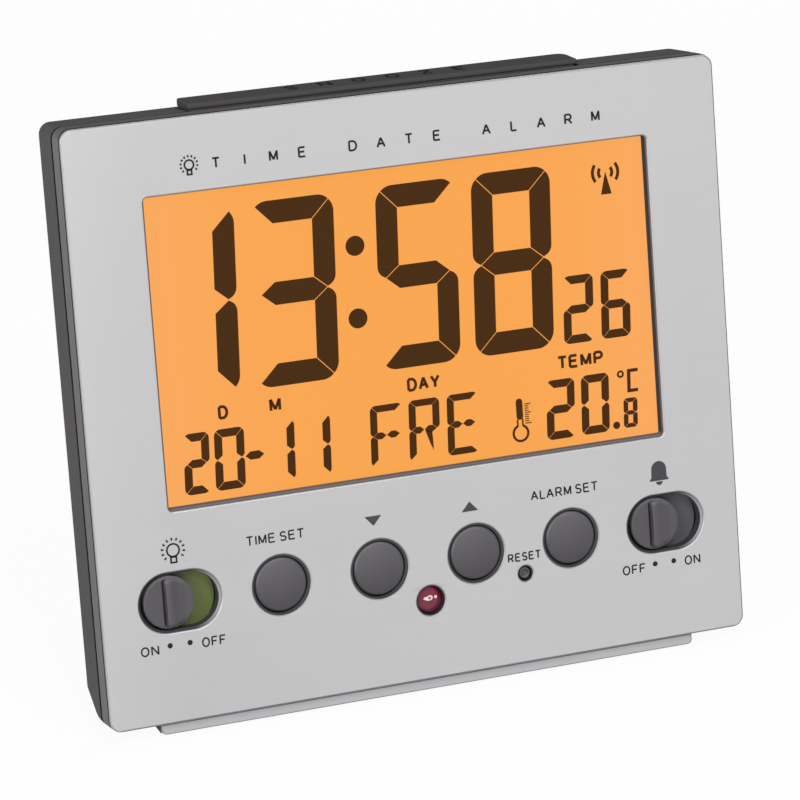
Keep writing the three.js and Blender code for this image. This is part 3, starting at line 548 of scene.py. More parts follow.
brushed = new_finish("brushed_silver")
lines = brushed.noise(0.10, stretch=(0.012, 1.0, 1.0), detail=3.0)
cloud = brushed.noise(30.0, detail=1.0)
across = brushed.coordinate("X")
upwards = brushed.coordinate("Z")
# Painted light: the plate's colour gets lighter towards the top and to the right, with a painted pool of
# light at its far left end.
painted_left_light = brushed.clamp(across * -0.05 - 1.9)
tone = across * 0.002 + upwards * 0.0032 - 0.02 + painted_left_light * 0.5 + lines * 0.4 + cloud * 0.3
face_tone = brushed.mix(tone, colour(183, 183, 185), colour(199, 197, 198))
punched = brushed.within(across, 0.0, PUNCHED_X) * brushed.within(upwards, PLATE_MIDDLE, PUNCHED_Z)
round_holes = (brushed.within(across, 0.0, HOLES_X)
               * brushed.within(upwards, PLATE_MIDDLE - HOLES_DROP, HOLES_Z))
# Painted light and shade on the edges: inner ones are painted paler, most where they face up, and outer
# ones that turn right and down get the darkest painted shade.
facing_up = brushed.clamp(brushed.along(UP) * 1.6 + 0.1)
hole_lit = brushed.mix(round_holes, colour(172, 172, 174), colour(142, 141, 142))
hole_painted_shade = brushed.mix(round_holes, colour(118, 116, 114), colour(150, 149, 150))
lit_edge = brushed.mix(punched * facing_up, colour(152, 151, 152), hole_lit)
painted_shade_edge = brushed.mix(punched, colour(34, 34, 36), hole_painted_shade)
brushed_silver = principled(
    brushed,
    Base_Color=with_painted_edge_light(brushed, face_tone, lit_edge, painted_shade_edge),
    Metallic=0.75,
    Roughness=0.42 + lines * 0.08 + cloud * 0.04,
    Normal=brushed.bump(lines, 0.002))

paint = new_finish("silver_paint")
flakes = paint.noise(0.09, detail=1.0)
paint_tone = paint.mix(flakes, colour(172, 173, 175), colour(190, 191, 193))
# The strip's edges get painted highlights and painted shade by the way they face, as the plate's do.
silver_paint = principled(
    paint,
    Base_Color=with_painted_edge_light(paint, paint_tone, colour(150, 151, 153), colour(40, 41, 43)),
    Metallic=0.6,
    Roughness=0.32 + flakes * 0.12,
    Coat_Weight=0.1)
print("silver finishes:", brushed_silver.name, silver_paint.name)

# %% [markdown]
# ## Moulded plastics
# Most of the clock is moulded plastic in greys. What tells one from another is the grain of the mould: the
# case is etched, the buttons are satin, hidden pieces are plain. One recipe makes them all: a colour that
# drifts slightly, a roughness, and a grain of a given size and depth. Some greys also get painted light and
# shade: another colour on the faces that point up, to the front or to the left.

# %% Plastic finishes
LEFT = (-1.0, 0.0, 0.0)
# Roughness, size and depth of the grain in millimetres, and shine.
ETCHED = (0.60, 0.22, 0.016, 0.0)
IN_A_HOLE = (0.70, 0.20, 0.004, 0.0)
IN_A_SEAM = (0.80, 0.20, 0.004, 0.0)
PRINTED = (0.50, 0.10, 0.002, 0.0)


def plastic(name, shade, roughness, grain_size, grain_depth, specular=0.3, drift=0.08, painted_light_by_facing=()):
    """A moulded grey. The last argument holds directions, each with the colour of painted light or shade
    for the faces that point there.
    """
    finish = new_finish(name)
    grain = finish.noise(grain_size, detail=2.0)
    patch = finish.noise(14.0, detail=2.0)
    dark = tuple(value * (1.0 - drift) for value in shade[:3]) + (1.0,)
    light = tuple(value * (1.0 + drift) for value in shade[:3]) + (1.0,)
    tone = finish.mix(patch * 0.6 + grain * 0.4, dark, light)
    # Painted light and shade: faces that point a given way take another colour.
    for direction, other in painted_light_by_facing:
        tone = finish.mix(finish.clamp(finish.along(direction)), tone, other)
    return principled(
        finish,
        Base_Color=tone,
        Roughness=roughness - 0.05 + grain * 0.1,
        Specular_IOR_Level=specular,
        Normal=finish.bump(grain, grain_depth))


# Painted light and shade: the housing's sides are a pale grey that stands in for a sheen, its top faces are
# painted darker, and its front faces darker still.
housing_grey = plastic("moulded_grey", colour(117, 116, 116), 0.55, 0.20, 0.006, 0.0,
                       painted_light_by_facing=[(UP, colour(100, 99, 98)), (PLATE_FRONT, colour(64, 63, 63))])
case_dark = plastic("etched_dark", colour(91, 89, 89), *ETCHED)
bar_dark = plastic("bar_dark", colour(80, 78, 79), *ETCHED)
# Painted highlight: faces of the buttons, knobs and reset pin that point up are lighter.
button_grey = plastic("satin_grey", colour(69, 67, 70), 0.40, 0.12, 0.003, 0.3,
                      painted_light_by_facing=[(UP, colour(114, 112, 115))])
slide_dark = plastic("slide_dark", colour(93, 92, 97), 0.45, 0.15, 0.005, 0.15)
white_plastic = plastic("moulded_white", colour(229, 226, 221), 0.40, 0.25, 0.004)
black_plastic = plastic("moulded_black", colour(30, 30, 31), 0.42, 0.18, 0.006)
rubber = plastic("matt_rubber", colour(36, 36, 36), 0.82, 0.30, 0.020)
lens_well = plastic("lens_well", colour(53, 44, 45), *IN_A_HOLE)
seam_black = plastic("seam_black", colour(26, 26, 27), *IN_A_SEAM)
# Painted light: the tape is lighter where it faces up.
tape_dark = plastic("tape_dark", colour(26, 26, 27), *IN_A_SEAM, painted_light_by_facing=[(UP, colour(128, 127, 127))])
reset_well = plastic("reset_well", colour(48, 48, 50), *IN_A_HOLE)
# Painted light: the liners are a little lighter where they face the front, and lighter still where they
# face left.
liner_grey = plastic("liner_grey", colour(62, 62, 63), *IN_A_HOLE,
                     painted_light_by_facing=[(PLATE_FRONT, colour(68, 68, 69)), (LEFT, colour(92, 92, 93))])
# Painted light: the window frame is lighter where it faces the front or up.
frame_grey = plastic("frame_grey", colour(62, 62, 63), *IN_A_HOLE,
                     painted_light_by_facing=[(PLATE_FRONT, colour(108, 108, 109)), (UP, colour(112, 112, 113))])
plate_ink = plastic("plate_ink", colour(46, 46, 48), *PRINTED)
sign_ink = plastic("sign_ink", colour(75, 75, 77), *PRINTED)
print("finishes so far:", len(bpy.data.materials))

# %% [markdown]
# ## Display finishes
# A lit display is a glowing sheet behind dark liquid crystal. The glow comes from lamps at both
# sides, so it is a little paler there. The segments only let a brown rest of the light through.

# %% Display finishes
DISPLAY_HALF = 38.7


def speckled(name, size, dark, light, roughness, spread=0.0, detail=3.0, **sockets):
    """A finish whose colour and roughness vary with one noise."""
    finish = new_finish(name)
    speck = finish.noise(size, detail=detail)
    return principled(finish, Base_Color=finish.mix(speck, dark, light),
                      Roughness=roughness + speck * spread, **sockets)


lit = new_finish("lit_display")
to_side = lit.maths("ABSOLUTE", lit.coordinate("X")) * (1.0 / DISPLAY_HALF)
haze = lit.noise(0.25, detail=2.0)
glow = lit.mix((to_side ** 3.0) * 0.7 + haze * 0.05, colour(250, 165, 74), colour(252, 171, 98))
lit_display = principled(
    lit,
    Base_Color=(0.02, 0.012, 0.006, 1.0),
    Roughness=0.35 + haze * 0.1,
    Specular_IOR_Level=0.15,
    Emission_Color=glow,
    Emission_Strength=0.96)

display_ink = speckled(
    "display_ink", 0.2, colour(52, 29, 4), colour(60, 34, 6), 0.5, detail=2.0,
    Specular_IOR_Level=0.1, Emission_Color=colour(40, 22, 4), Emission_Strength=0.6)
print("display finishes:", lit_display.name, display_ink.name)

# %% [markdown]
# ## Front plate
# The plate is one sheet with every opening punched through it: window, four button holes, two slots, lens
# and reset pin. Cutting them out one by one with Booleans would leave ragged edges, so all of them are
# outlines of the same sheet. The punched edges are rounded. Where those of the window and the slots face
# up, a thin painted highlight lies on them.

# %% Front plate
PLATE_BACK, PLATE_EDGE = 0.6, 0.28
CASE_CORNER = 1.7
WINDOW = (-38.7, 38.7, -12.35, 32.65)
WINDOW_CORNER = 0.7
LEDGE = 0.2
LINTEL = 0.3
PLATE_DROP = 0.14
BUTTON_HOLE = 4.4
LENS_HOLE = 2.2
RESET_HOLE = 1.15
SMALL_STEPS = 32
SLOT_LENGTH = 12.4
SLOT_HEIGHT = 8.7
SLOT_X = 38.1
buttons = ["time_button", "down_button", "up_button", "alarm_button"]
button_places = [middle(name, LEANING) for name in buttons]
row_z = button_places[0].z
lens_place = middle("sensor_lens", LEANING)
reset_place = middle("reset_button", LEANING)
plate_low, plate_high = extent("front_plate", LEANING)

plate_window = rounded_rectangle(
    WINDOW[0], WINDOW[1], WINDOW[2] - LEDGE, WINDOW[3] - LINTEL, WINDOW_CORNER)
openings = [plate_window]
openings += [circle(place.x, place.z, BUTTON_HOLE) for place in button_places]
openings += [stadium(side * SLOT_X, row_z, SLOT_LENGTH, SLOT_HEIGHT) for side in (-1, 1)]
openings.append(circle(lens_place.x, lens_place.z, LENS_HOLE))
openings.append(circle(reset_place.x, reset_place.z, RESET_HOLE, SMALL_STEPS))
plate_outline = rounded_rectangle(
    plate_low.x, plate_high.x, plate_low.z, plate_high.z - PLATE_DROP, CASE_CORNER)
piece("front_plate_sheet", sheet([plate_outline] + openings, 0.0, PLATE_BACK, PLATE_EDGE), LEANING,
      brushed_silver, stands_for=["front_plate"])

# %% [markdown]
# ## Window frame
# Behind the plate the housing's own openings are dark, and they line the holes that one looks into.
# The first liner is a frame round the display, with a narrow ledge below it. It could be part of
# the housing's mesh, but as a thin ring of its own, just behind the plate's rounded edge, it can
# have its own grey.

# %% Window frame
LINER = 0.1
LINER_EDGE = 0.02
FRAME_FRONT, LINER_BACK = 0.4, 1.7
FRAME_CORNER = 0.3

inner = [WINDOW[0] + LINER, WINDOW[1] - LINER, WINDOW[2] + LINER, WINDOW[3] - LINTEL - LINER_EDGE]
window_frame = [plate_window, rounded_rectangle(*inner, FRAME_CORNER)]
piece("window_frame", sheet(window_frame, FRAME_FRONT, LINER_BACK, LINER_EDGE), LEANING,
      frame_grey)

# %% [markdown]
# ## Slot rims
# The slots have a rim that slopes inwards before it goes straight down. Its colour is painted light and
# shade: faces that look left and to the front, which is the slope on the right, are painted pale, and the
# rest are painted dark. A bevel would round such a rim off, so its section is swept round the slot instead,
# from one outline to the next.

# %% Slot rims
LINER_FRONT = 0.2
RIM_WIDTH, RIM_SLOPE, RIM_BACK = 0.3, 0.45, 2.0

rim_look = new_finish("slot_rim")
rim_left = rim_look.clamp(rim_look.along(LEFT) * 1.3)
rim_front = rim_look.clamp(rim_look.along(PLATE_FRONT) * 3.0)
rim_grain = rim_look.noise(0.15)
rim_painted_shade = rim_look.mix(rim_grain, colour(56, 56, 58), colour(64, 64, 66))
rim_painted_light = rim_look.mix(rim_grain, colour(150, 150, 152), colour(176, 176, 178))
# Painted highlight on faces that look left and to the front, painted shade on the rest.
slot_rim = principled(
    rim_look,
    Base_Color=rim_look.mix(rim_left * rim_front, rim_painted_shade, rim_painted_light),
    Roughness=0.4 + rim_grain * 0.2,
    Specular_IOR_Level=0.1)


def swept_ring(sections):
    """A closed ring through outlines at given depths, from the last back to the first."""
    bm = bmesh.new()
    rows = [[bm.verts.new((x, depth, z)) for x, z in outline] for outline, depth in sections]
    for near, far in zip(rows, rows[1:] + rows[:1]):
        for i in range(len(near)):
            j = (i + 1) % len(near)
            bm.faces.new((near[i], near[j], far[j], far[i]))
    return bm


for name, side in (("light", -1), ("alarm", 1)):
    slot_wide = stadium(side * SLOT_X, row_z, SLOT_LENGTH, SLOT_HEIGHT)
    slot_narrow = stadium(side * SLOT_X, row_z, SLOT_LENGTH - 2 * RIM_WIDTH, SLOT_HEIGHT - 2 * RIM_WIDTH)
    rim = swept_ring([(slot_wide, LINER_FRONT), (slot_narrow, RIM_SLOPE), (slot_narrow, RIM_BACK),
                      (slot_wide, RIM_BACK)])
    piece(f"{name}_slot_rim", rim, LEANING, slot_rim)

# %% [markdown]
# ## Collars
# A dark collar lines the hole of each button, of the lens and of the reset pin. A collar could be
# turned like a button, but a sheet with one hole gives the same ring. A table holds what differs:
# the place, the hole, the width, the depth and the finish.

# %% Collars
COLLAR, COLLAR_BACK = 0.25, 1.45
collars = [(name, place, BUTTON_HOLE, COLLAR, COLLAR_BACK, liner_grey)
           for name, place in zip(buttons, button_places)]
collars += [("sensor_lens", lens_place, LENS_HOLE, LINER, LINER_BACK, lens_well),
            ("reset_button", reset_place, RESET_HOLE, LINER, LINER_BACK, reset_well)]
for name, place, hole, width, back, finish in collars:
    collar = [circle(place.x, place.z, hole), circle(place.x, place.z, hole - width)]
    piece(f"{name}_collar", sheet(collar, LINER_FRONT, back, LINER_EDGE), LEANING, finish)

# %% [markdown]
# ## Moulded shells
# Housing, rear cover and base keep their shape from the solids. Moulded edges are never sharp, so
# a copy of each mesh is welded, cleared of needless triangle edges and bevelled. The base keeps its
# triangles, and its pockets for pads and screws stay sharp. The housing is a little shorter than
# its solid at the back, which leaves a seam. The cover's sides draw in towards the back.

# %% Housing, cover and base
SOLID_FRONT, SOLID_BACK = 0.9, 4.2
HOUSING_FRONT, HOUSING_BACK = 0.85, 3.7
SAME_DEPTH = 0.01
COVER_FRONT, COVER_BACK = 4.5, 10.8
DRAFT, DRAFT_FROM = 0.28, 46.5
MOULD_ANGLE = math.radians(35.0)
FLAT_ANGLE = math.radians(12.0)
COPLANAR = math.radians(0.4)
SOLID_WELD = 1e-6
POCKET = 4.2
pads = [f"pad_{name}" for name in ("front_left", "front_right", "rear_left", "rear_right")]
base_screws = ["base_screw_left", "base_screw_right"]


def at_depth(before, after):
    """Moves the corners at one depth in the case to another."""
    return lambda flat: Vector((flat.x, after, flat.z)) if abs(flat.y - before) < SAME_DEPTH else flat


def drafted(flat):
    """Draws the side walls in towards the back, as a mould needs."""
    if abs(flat.x) < DRAFT_FROM:
        return flat
    share = min(1.0, max(0.0, (flat.y - COVER_FRONT) / (COVER_BACK - COVER_FRONT)))
    return Vector((flat.x - math.copysign(DRAFT * share, flat.x), flat.y, flat.z))


def moulded(name, node, finish, width, moves=(), pockets=()):
    """A copy of a solid with rounded edges, but not round the pockets where other pieces sit.

    Each of moves takes a corner, on the leaning board, elsewhere."""
    spots = [middle(other, STANDING).xy for other in pockets]

    def is_mould_edge(edge):
        if not edge.is_manifold or edge.calc_face_angle(0.0) < MOULD_ANGLE:
            return False
        here = 500.0 * (edge.verts[0].co + edge.verts[1].co).xy    # its middle, in millimetres
        return all((here - spot).length > POCKET for spot in spots)

    bm = bmesh.new()
    bm.from_mesh(nodes[node].data)
    for move in moves:
        for corner in bm.verts:
            corner.co = LEANING @ move(LEANING.inverted() @ corner.co)
    bmesh.ops.remove_doubles(bm, verts=bm.verts, dist=SOLID_WELD)
    if not pockets:
        bmesh.ops.dissolve_limit(bm, angle_limit=COPLANAR, verts=bm.verts, edges=bm.edges)
    edges = [edge for edge in bm.edges if is_mould_edge(edge)]
    bmesh.ops.bevel(bm, geom=edges, offset=0.001 * width, segments=2, profile=0.5,
                    affect="EDGES", clamp_overlap=True)
    shell = piece(name, bm, Matrix.Identity(4), finish, stands_for=[node])
    shell.data.set_sharp_from_angle(angle=FLAT_ANGLE)


moulded("front_housing_shell", "front_housing", housing_grey, 0.08,
        [at_depth(SOLID_FRONT, HOUSING_FRONT), at_depth(SOLID_BACK, HOUSING_BACK)])
moulded("rear_cover_shell", "rear_cover", case_dark, 0.15, [drafted])
moulded("base_shell", "base", case_dark, 0.25, pockets=pads + base_screws)
moulded("foot_trim_strip", "foot_trim", silver_paint, 0.2)

# %% [markdown]
# ## Gasket and tape
# A black gasket shows in the seam between housing and cover. In front, black tape holds the plate
# on the housing. Both could be painted on the shells, but a seam needs real depth to look dark from
# every side. So both are thin rings that follow the plate's outline.

# %% Gasket and tape
GASKET_INSETS = (0.06, 1.2)
TAPE_INSETS = (0.3, 2.4)
GASKET_PLAY = 0.05
THIN_EDGE = 0.01


def case_outline(inset, corner):
    """The plate's outline, drawn in on all sides."""
    return rounded_rectangle(plate_low.x + inset, plate_high.x - inset,
                             plate_low.z + inset, plate_high.z - inset, corner)


gasket = [case_outline(inset, CASE_CORNER - inset) for inset in GASKET_INSETS]
piece("seam_gasket", sheet(gasket, HOUSING_BACK, COVER_FRONT - GASKET_PLAY, THIN_EDGE), LEANING,
      seam_black)
tape = [case_outline(inset, CASE_CORNER - TAPE_INSETS[0]) for inset in TAPE_INSETS]
piece("plate_tape", sheet(tape, PLATE_BACK, HOUSING_FRONT, THIN_EDGE), LEANING, tape_dark)

# %% [markdown]
# ## Push buttons
# Each button is a cap with a domed face and a rounded edge. Behind it come a skirt that closes the
# ring round the cap, the flange that keeps the button in, and the stem over its switch. Stacked
# cylinders would need joining, so all of it is one profile, turned at four places.

# %% Buttons
CAP_RADIUS = 3.92
CAP_FRONT = -0.22
CAP_EDGE = 0.25
SKIRT_RADIUS, SKIRT_FRONT = 4.2, 1.5
FLANGE_RADIUS, FLANGE_FRONT, FLANGE_BACK = 4.92, 2.3, 3.1
PUSHER_RADIUS, PUSHER_BACK = 1.5, 3.7
DOME, DOME_STEPS = 0.45, 8
dome_reach = CAP_RADIUS - CAP_EDGE
shares = [i / DOME_STEPS for i in range(DOME_STEPS)]
dome = [(dome_reach * share, CAP_FRONT + DOME * share ** 2) for share in shares]
cap_profile = dome + soften(
    [dome[-1], (dome_reach, CAP_FRONT + DOME), (CAP_RADIUS, CAP_FRONT + DOME + CAP_EDGE),
     (CAP_RADIUS, SKIRT_FRONT), (SKIRT_RADIUS, SKIRT_FRONT), (SKIRT_RADIUS, FLANGE_FRONT),
     (FLANGE_RADIUS, FLANGE_FRONT), (FLANGE_RADIUS, FLANGE_BACK), (PUSHER_RADIUS, FLANGE_BACK),
     (PUSHER_RADIUS, PUSHER_BACK), (0.0, PUSHER_BACK)],
    {1: 0.15, 2: 0.15, 4: 0.1, 6: 0.1, 7: 0.1})[1:]
for name, place in zip(buttons, button_places):
    piece(f"{name}_cap", lathe(cap_profile, place.x, place.z), LEANING,
          button_grey, name, [name])

# %% [markdown]
# ## Reset pin
# The reset pin lies back in its small hole, so that only a pen reaches it. A shallow recess in its
# face keeps the pen from slipping off. It is turned like the buttons, with fewer sides because it
# is small, and has a flange like theirs.

# %% Reset pin
PIN_FACE, PIN_RIM = 0.75, 0.45
PIN_RADIUS, PIN_FLANGE = 0.85, 1.75
PIN_STEPS = 40
reset_profile = soften(
    [(0.0, PIN_FACE), (0.45, PIN_FACE), (0.6, PIN_RIM), (PIN_RADIUS, PIN_RIM), (PIN_RADIUS, FLANGE_FRONT),
     (PIN_FLANGE, FLANGE_FRONT), (PIN_FLANGE, FLANGE_BACK), (0.0, FLANGE_BACK)], {2: 0.04, 3: 0.12})
piece("reset_button_pin", lathe(reset_profile, reset_place.x, reset_place.z, PIN_STEPS), LEANING,
      button_grey, "reset_button", ["reset_button"])

# %% [markdown]
# ## Section of a knob
# A knob slides in each slot. Its face is flat on the left, then comes a groove and a grip ridge
# that slopes off to the right. Pairs of x and depth give this section. The upper end of the ridge
# is round, so points near the top are moved to the right along a quarter circle.

# %% Knob section
KNOB_RADIUS = 3.85
KNOB_FACE = 0.3
ARCH_START, ARCH_HEIGHT, ARCH_REACH = 2.95, 0.55, 0.6
RIDGE = [(-0.98, KNOB_FACE), (-0.92, 0.90), (-0.64, 0.90), (-0.58, -0.25), (-0.48, -0.40),
         (-0.28, -0.48), (0.12, -0.50), (0.40, -0.40), (1.30, 0.02), (2.40, KNOB_FACE)]


def knob_depth(x):
    """Depth of the knob's face at x from its middle."""
    if x <= RIDGE[0][0]:
        return KNOB_FACE
    for (x0, y0), (x1, y1) in zip(RIDGE, RIDGE[1:]):
        if x <= x1:
            return y0 + (y1 - y0) * (x - x0) / (x1 - x0)
    return KNOB_FACE


def ridge_shift(a, b):
    """How far the round top end of the ridge moves a point of the face to the right."""
    share = min(1.0, max(0.0, (b - ARCH_START) / ARCH_HEIGHT))
    reach = ARCH_REACH * (1.0 - math.sqrt(1.0 - share ** 2))
    left = (a + KNOB_RADIUS) / (KNOB_RADIUS + RIDGE[0][0])
    right = (RIDGE[-1][0] - a) / RIDGE[-1][0]
    return reach * max(0.0, min(1.0, left, right))


print("the ridge stands out by", KNOB_FACE - min(depth for _, depth in RIDGE), "mm")

# %% [markdown]
# ## Knobs
# A ridge on a round knob could be cut with Booleans, but its soft ends are hard to get that way. So
# the face is a height field: columns of points across a round outline, each set to the depth that
# the section has there. Close to the rim the heights fade out. The open rim is then pulled out
# three times: twice over its rounding, and once down the side to the back.

# %% Knobs
KNOB_EDGE, KNOB_EASE, KNOB_BACK = 0.25, 0.07, 2.0
KNOB_COLUMNS, KNOB_ROWS = 14, 24
FADE_START, FADE = 0.05, 0.3
KNOB_WELD = 1e-5


def knob(x, z):
    """Rows of points from rim to rim, then the rim's rounding and the side down to the back."""
    bm = bmesh.new()
    inner = KNOB_RADIUS - KNOB_EDGE
    steps = range(-KNOB_COLUMNS, KNOB_COLUMNS + 1)
    plain = [inner * math.sin(QUARTER * i / KNOB_COLUMNS) for i in steps if i]
    columns = sorted(set([round(a, 4) for a in plain] + [a for a, _ in RIDGE]))
    grid = []
    for a in columns:
        half = math.sqrt(max(inner ** 2 - a ** 2, 0.0))
        turns = [QUARTER * (2.0 * j / KNOB_ROWS - 1.0) for j in range(KNOB_ROWS + 1)]
        heights = [half * math.sin(turn) for turn in turns]
        column = []
        for b in heights:
            near_rim = (inner - FADE_START - math.hypot(a, b)) / FADE
            rise = math.sin(QUARTER * min(1.0, max(0.0, near_rim)))
            depth = KNOB_FACE + (knob_depth(a) - KNOB_FACE) * rise
            column.append(bm.verts.new((x + a + ridge_shift(a, b), depth, z + b)))
        grid.append(column)
    for left, right in zip(grid, grid[1:]):
        for j in range(KNOB_ROWS):
            bm.faces.new((left[j], right[j], right[j + 1], left[j + 1]))
    bmesh.ops.remove_doubles(bm, verts=bm.verts, dist=KNOB_WELD)
    edge = [e for e in bm.edges if e.is_boundary]
    for radius, depth in ((KNOB_RADIUS - KNOB_EASE, KNOB_FACE + KNOB_EASE),
                          (KNOB_RADIUS, KNOB_FACE + KNOB_EDGE), (KNOB_RADIUS, KNOB_BACK)):
        made = bmesh.ops.extrude_edge_only(bm, edges=edge)["geom"]
        edge = [e for e in made if isinstance(e, bmesh.types.BMEdge)]
        for corner in [v for v in made if isinstance(v, bmesh.types.BMVert)]:
            out = Vector((corner.co.x - x, corner.co.z - z)).normalized() * radius
            corner.co = (x + out.x, depth, z + out.y)
    bmesh.ops.contextual_create(bm, geom=edge)
    return bm


for name in ("light", "alarm"):
    place = middle(f"{name}_knob", LEANING)
    piece(f"{name}_knob_grip", knob(place.x, place.z), LEANING, button_grey,
          f"{name}_slider", [f"{name}_knob"])

# %% [markdown]
# ## Slide plates
# Behind each knob slides a flat plate with a round end. On the light switch it is green past the
# knob, and grey before it. Two pieces could show that, but the real plate is one piece with paint
# on it, so the finish changes at the knob. A fixed strip closes the view past the plate's end.

# %% Slide plates
STRIP_REACH, STRIP_EDGE, STRIP_STEPS = 0.17, 0.1, 24
WELL_LEFT, WELL_RIGHT, WELL_CORNER = 4.0, 2.0, 0.3
WELL_FRONT, WELL_BACK, WELL_EDGE = 0.05, 0.25, 0.05
slide_tones = new_finish("slide_green")
past_knob = slide_tones.coordinate("X") > middle("light_knob", LEANING).x
slide_grain = slide_tones.noise(0.15)
slide_paint = slide_tones.mix(slide_grain, colour(88, 101, 48), colour(97, 111, 58))
slide_green = principled(
    slide_tones,
    Base_Color=slide_tones.mix(past_knob, colour(66, 66, 67), slide_paint),
    Roughness=0.45 + slide_grain * 0.1)

for name, finish, slot in (("light", slide_green, "slide_green"), ("alarm", slide_dark, "slide_dark")):
    place = middle(f"{name}_knob", LEANING)
    low, high = extent(f"{name}_slide_plate", LEANING)
    end = high.x + STRIP_REACH
    half = (high.z - low.z) / 2.0
    outline = [(low.x, high.z), (low.x, low.z)]
    outline += arc(end - half, place.z, half, -QUARTER, QUARTER, STRIP_STEPS)
    piece(f"{name}_slide_strip", sheet([outline], low.y, high.y, STRIP_EDGE), LEANING, finish,
          f"{name}_slider", [f"{name}_slide_plate"])
    well = rounded_rectangle(high.x - WELL_LEFT, high.x + WELL_RIGHT, low.z, high.z, WELL_CORNER, 3)
    piece(f"{name}_slot_floor", sheet([well], high.y + WELL_FRONT, high.y + WELL_BACK, WELL_EDGE),
          LEANING, liner_grey)

# %% [markdown]
# ## Thin flat shapes
# Segments, labels and signs are thin flat shapes on a surface. They need no rounded edge, so each
# polygon is simply given a front, a back and sides. A ring is cut into quads, which saves its hole.

# %% Thin shapes
INK_THICKNESS = 0.03


def inlay(polygons, surface, thickness=INK_THICKNESS):
    """Thin flat shapes lying on a surface at that depth. A polygon is a list of x, z pairs."""
    bm = bmesh.new()
    for polygon in polygons:
        front = [bm.verts.new((x, surface - thickness, z)) for x, z in polygon]
        back = [bm.verts.new((x, surface, z)) for x, z in polygon]
        bm.faces.new(front)
        bm.faces.new(back)
        for i in range(len(front)):
            j = (i + 1) % len(front)
            bm.faces.new((front[i], front[j], back[j], back[i]))
    return bm


def ring(x, z, outer, inner, start=0.0, stop=2.0 * math.pi, steps=32):
    """A ring or part of one, as quads, so that it needs no hole."""
    far, near = arc(x, z, outer, start, stop, steps), arc(x, z, inner, start, stop, steps)
    return [[far[i], far[i + 1], near[i + 1], near[i]] for i in range(steps)]


def shifted(points, x, z):
    """A shape that was drawn round zero, moved to its place."""
    return [(x + a, z + b) for a, b in points]


print("ink is", INK_THICKNESS, "mm thick")

# %% [markdown]
# ## Red lens
# A small red window lets room light reach the sensor that dims the display. The sensor's pale frame
# shows through it as an almond-shaped spot with a darker pupil, and a bright dot beside it. Clear
# plastic over a real sensor would be noisy at this size, so the spots are laid in the red face.

# %% Lens
LENS_FACE, LENS_RADIUS, LENS_FLANGE = 0.75, 2.02, 2.8
SPOT_DEPTH, SPOT_THICKNESS = 0.05, 0.1
PUPIL_THICKNESS = 0.02

red = new_finish("red_lens")
red_cloud = red.clamp((red.noise(1.6, detail=1.0) - 0.35) * 3.0)
lens_red = principled(
    red,
    Base_Color=red.mix(red_cloud, colour(122, 22, 50), colour(98, 48, 70)),
    Roughness=0.2,
    Specular_IOR_Level=0.3,
    Coat_Weight=0.3)
sensor_frame = speckled("sensor_frame", 0.3, colour(216, 190, 190), colour(248, 236, 228), 0.3)
sensor_die = plastic("sensor_die", colour(122, 104, 98), 0.45, 0.30, 0.004)

lens_profile = soften(
    [(0.0, LENS_FACE), (1.1, LENS_FACE + 0.06), (LENS_RADIUS, LENS_FACE + 0.28),
     (LENS_RADIUS, FLANGE_FRONT), (LENS_FLANGE, FLANGE_FRONT), (LENS_FLANGE, FLANGE_BACK),
     (0.0, FLANGE_BACK)], {1: 2.5, 2: 0.15})
piece("sensor_lens_dome", lathe(lens_profile, lens_place.x, lens_place.z), LEANING,
      lens_red, stands_for=["sensor_lens"])
eye_x, eye_z = lens_place.x - 0.1, lens_place.z + 0.2
eye = [(-0.85, 0.0), (-0.55, 0.26), (-0.20, 0.24), (0.05, 0.42), (0.42, 0.40), (0.66, 0.12),
       (0.50, -0.22), (0.10, -0.36), (-0.40, -0.28)]
pupil = [(-0.16, 0.02), (0.02, 0.20), (0.30, 0.22), (0.40, 0.02), (0.24, -0.14), (0.0, -0.16)]
spots = [shifted(eye, eye_x, eye_z), circle(eye_x + 1.1, eye_z + 0.1, 0.22, 20)]
piece("sensor_lens_spot", inlay(spots, LENS_FACE + SPOT_DEPTH, SPOT_THICKNESS), LEANING,
      sensor_frame)
pupils = [shifted(pupil, eye_x, eye_z)]
piece("sensor_lens_pupil", inlay(pupils, LENS_FACE - SPOT_DEPTH, PUPIL_THICKNESS), LEANING,
      sensor_die)

# %% [markdown]
# ## Display panel
# The glass fills the window from behind. The lit sheet is the panel itself; the dark segments lie
# on its face as very thin shapes, as they would in the liquid crystal just under the surface.

# %% Display panel
GLASS_CORNER, GLASS_EDGE = 0.4, 0.08
lcd_low, lcd_high = extent("lcd_panel", LEANING)
lcd_outline = rounded_rectangle(lcd_low.x, lcd_high.x, lcd_low.z, lcd_high.z, GLASS_CORNER, 4)
piece("lcd_panel_glass", sheet([lcd_outline], lcd_low.y, lcd_high.y, GLASS_EDGE), LEANING,
      lit_display, stands_for=["lcd_panel"])

# %% [markdown]
# ## Segment digits
# Seven bars make a digit, cut at a slant where they meet, with a hair of a gap. The outer corners
# are rounded and the waist is drawn in. Letters also split the middle bar in two. A font could not
# give these cuts, so each bar is built for a digit's size, then leaned with the digit.

# %% Bars of a digit
BARS = {"0": "abcdef", "1": "bc", "2": "abdeg", "3": "abcdg", "5": "acdfg", "6": "acdefg",
        "8": "abcdefg", "-": "g", "F": "aefhi", "R": "abefhik", "E": "adefhi"}
LEAN = math.tan(math.radians(2.3))


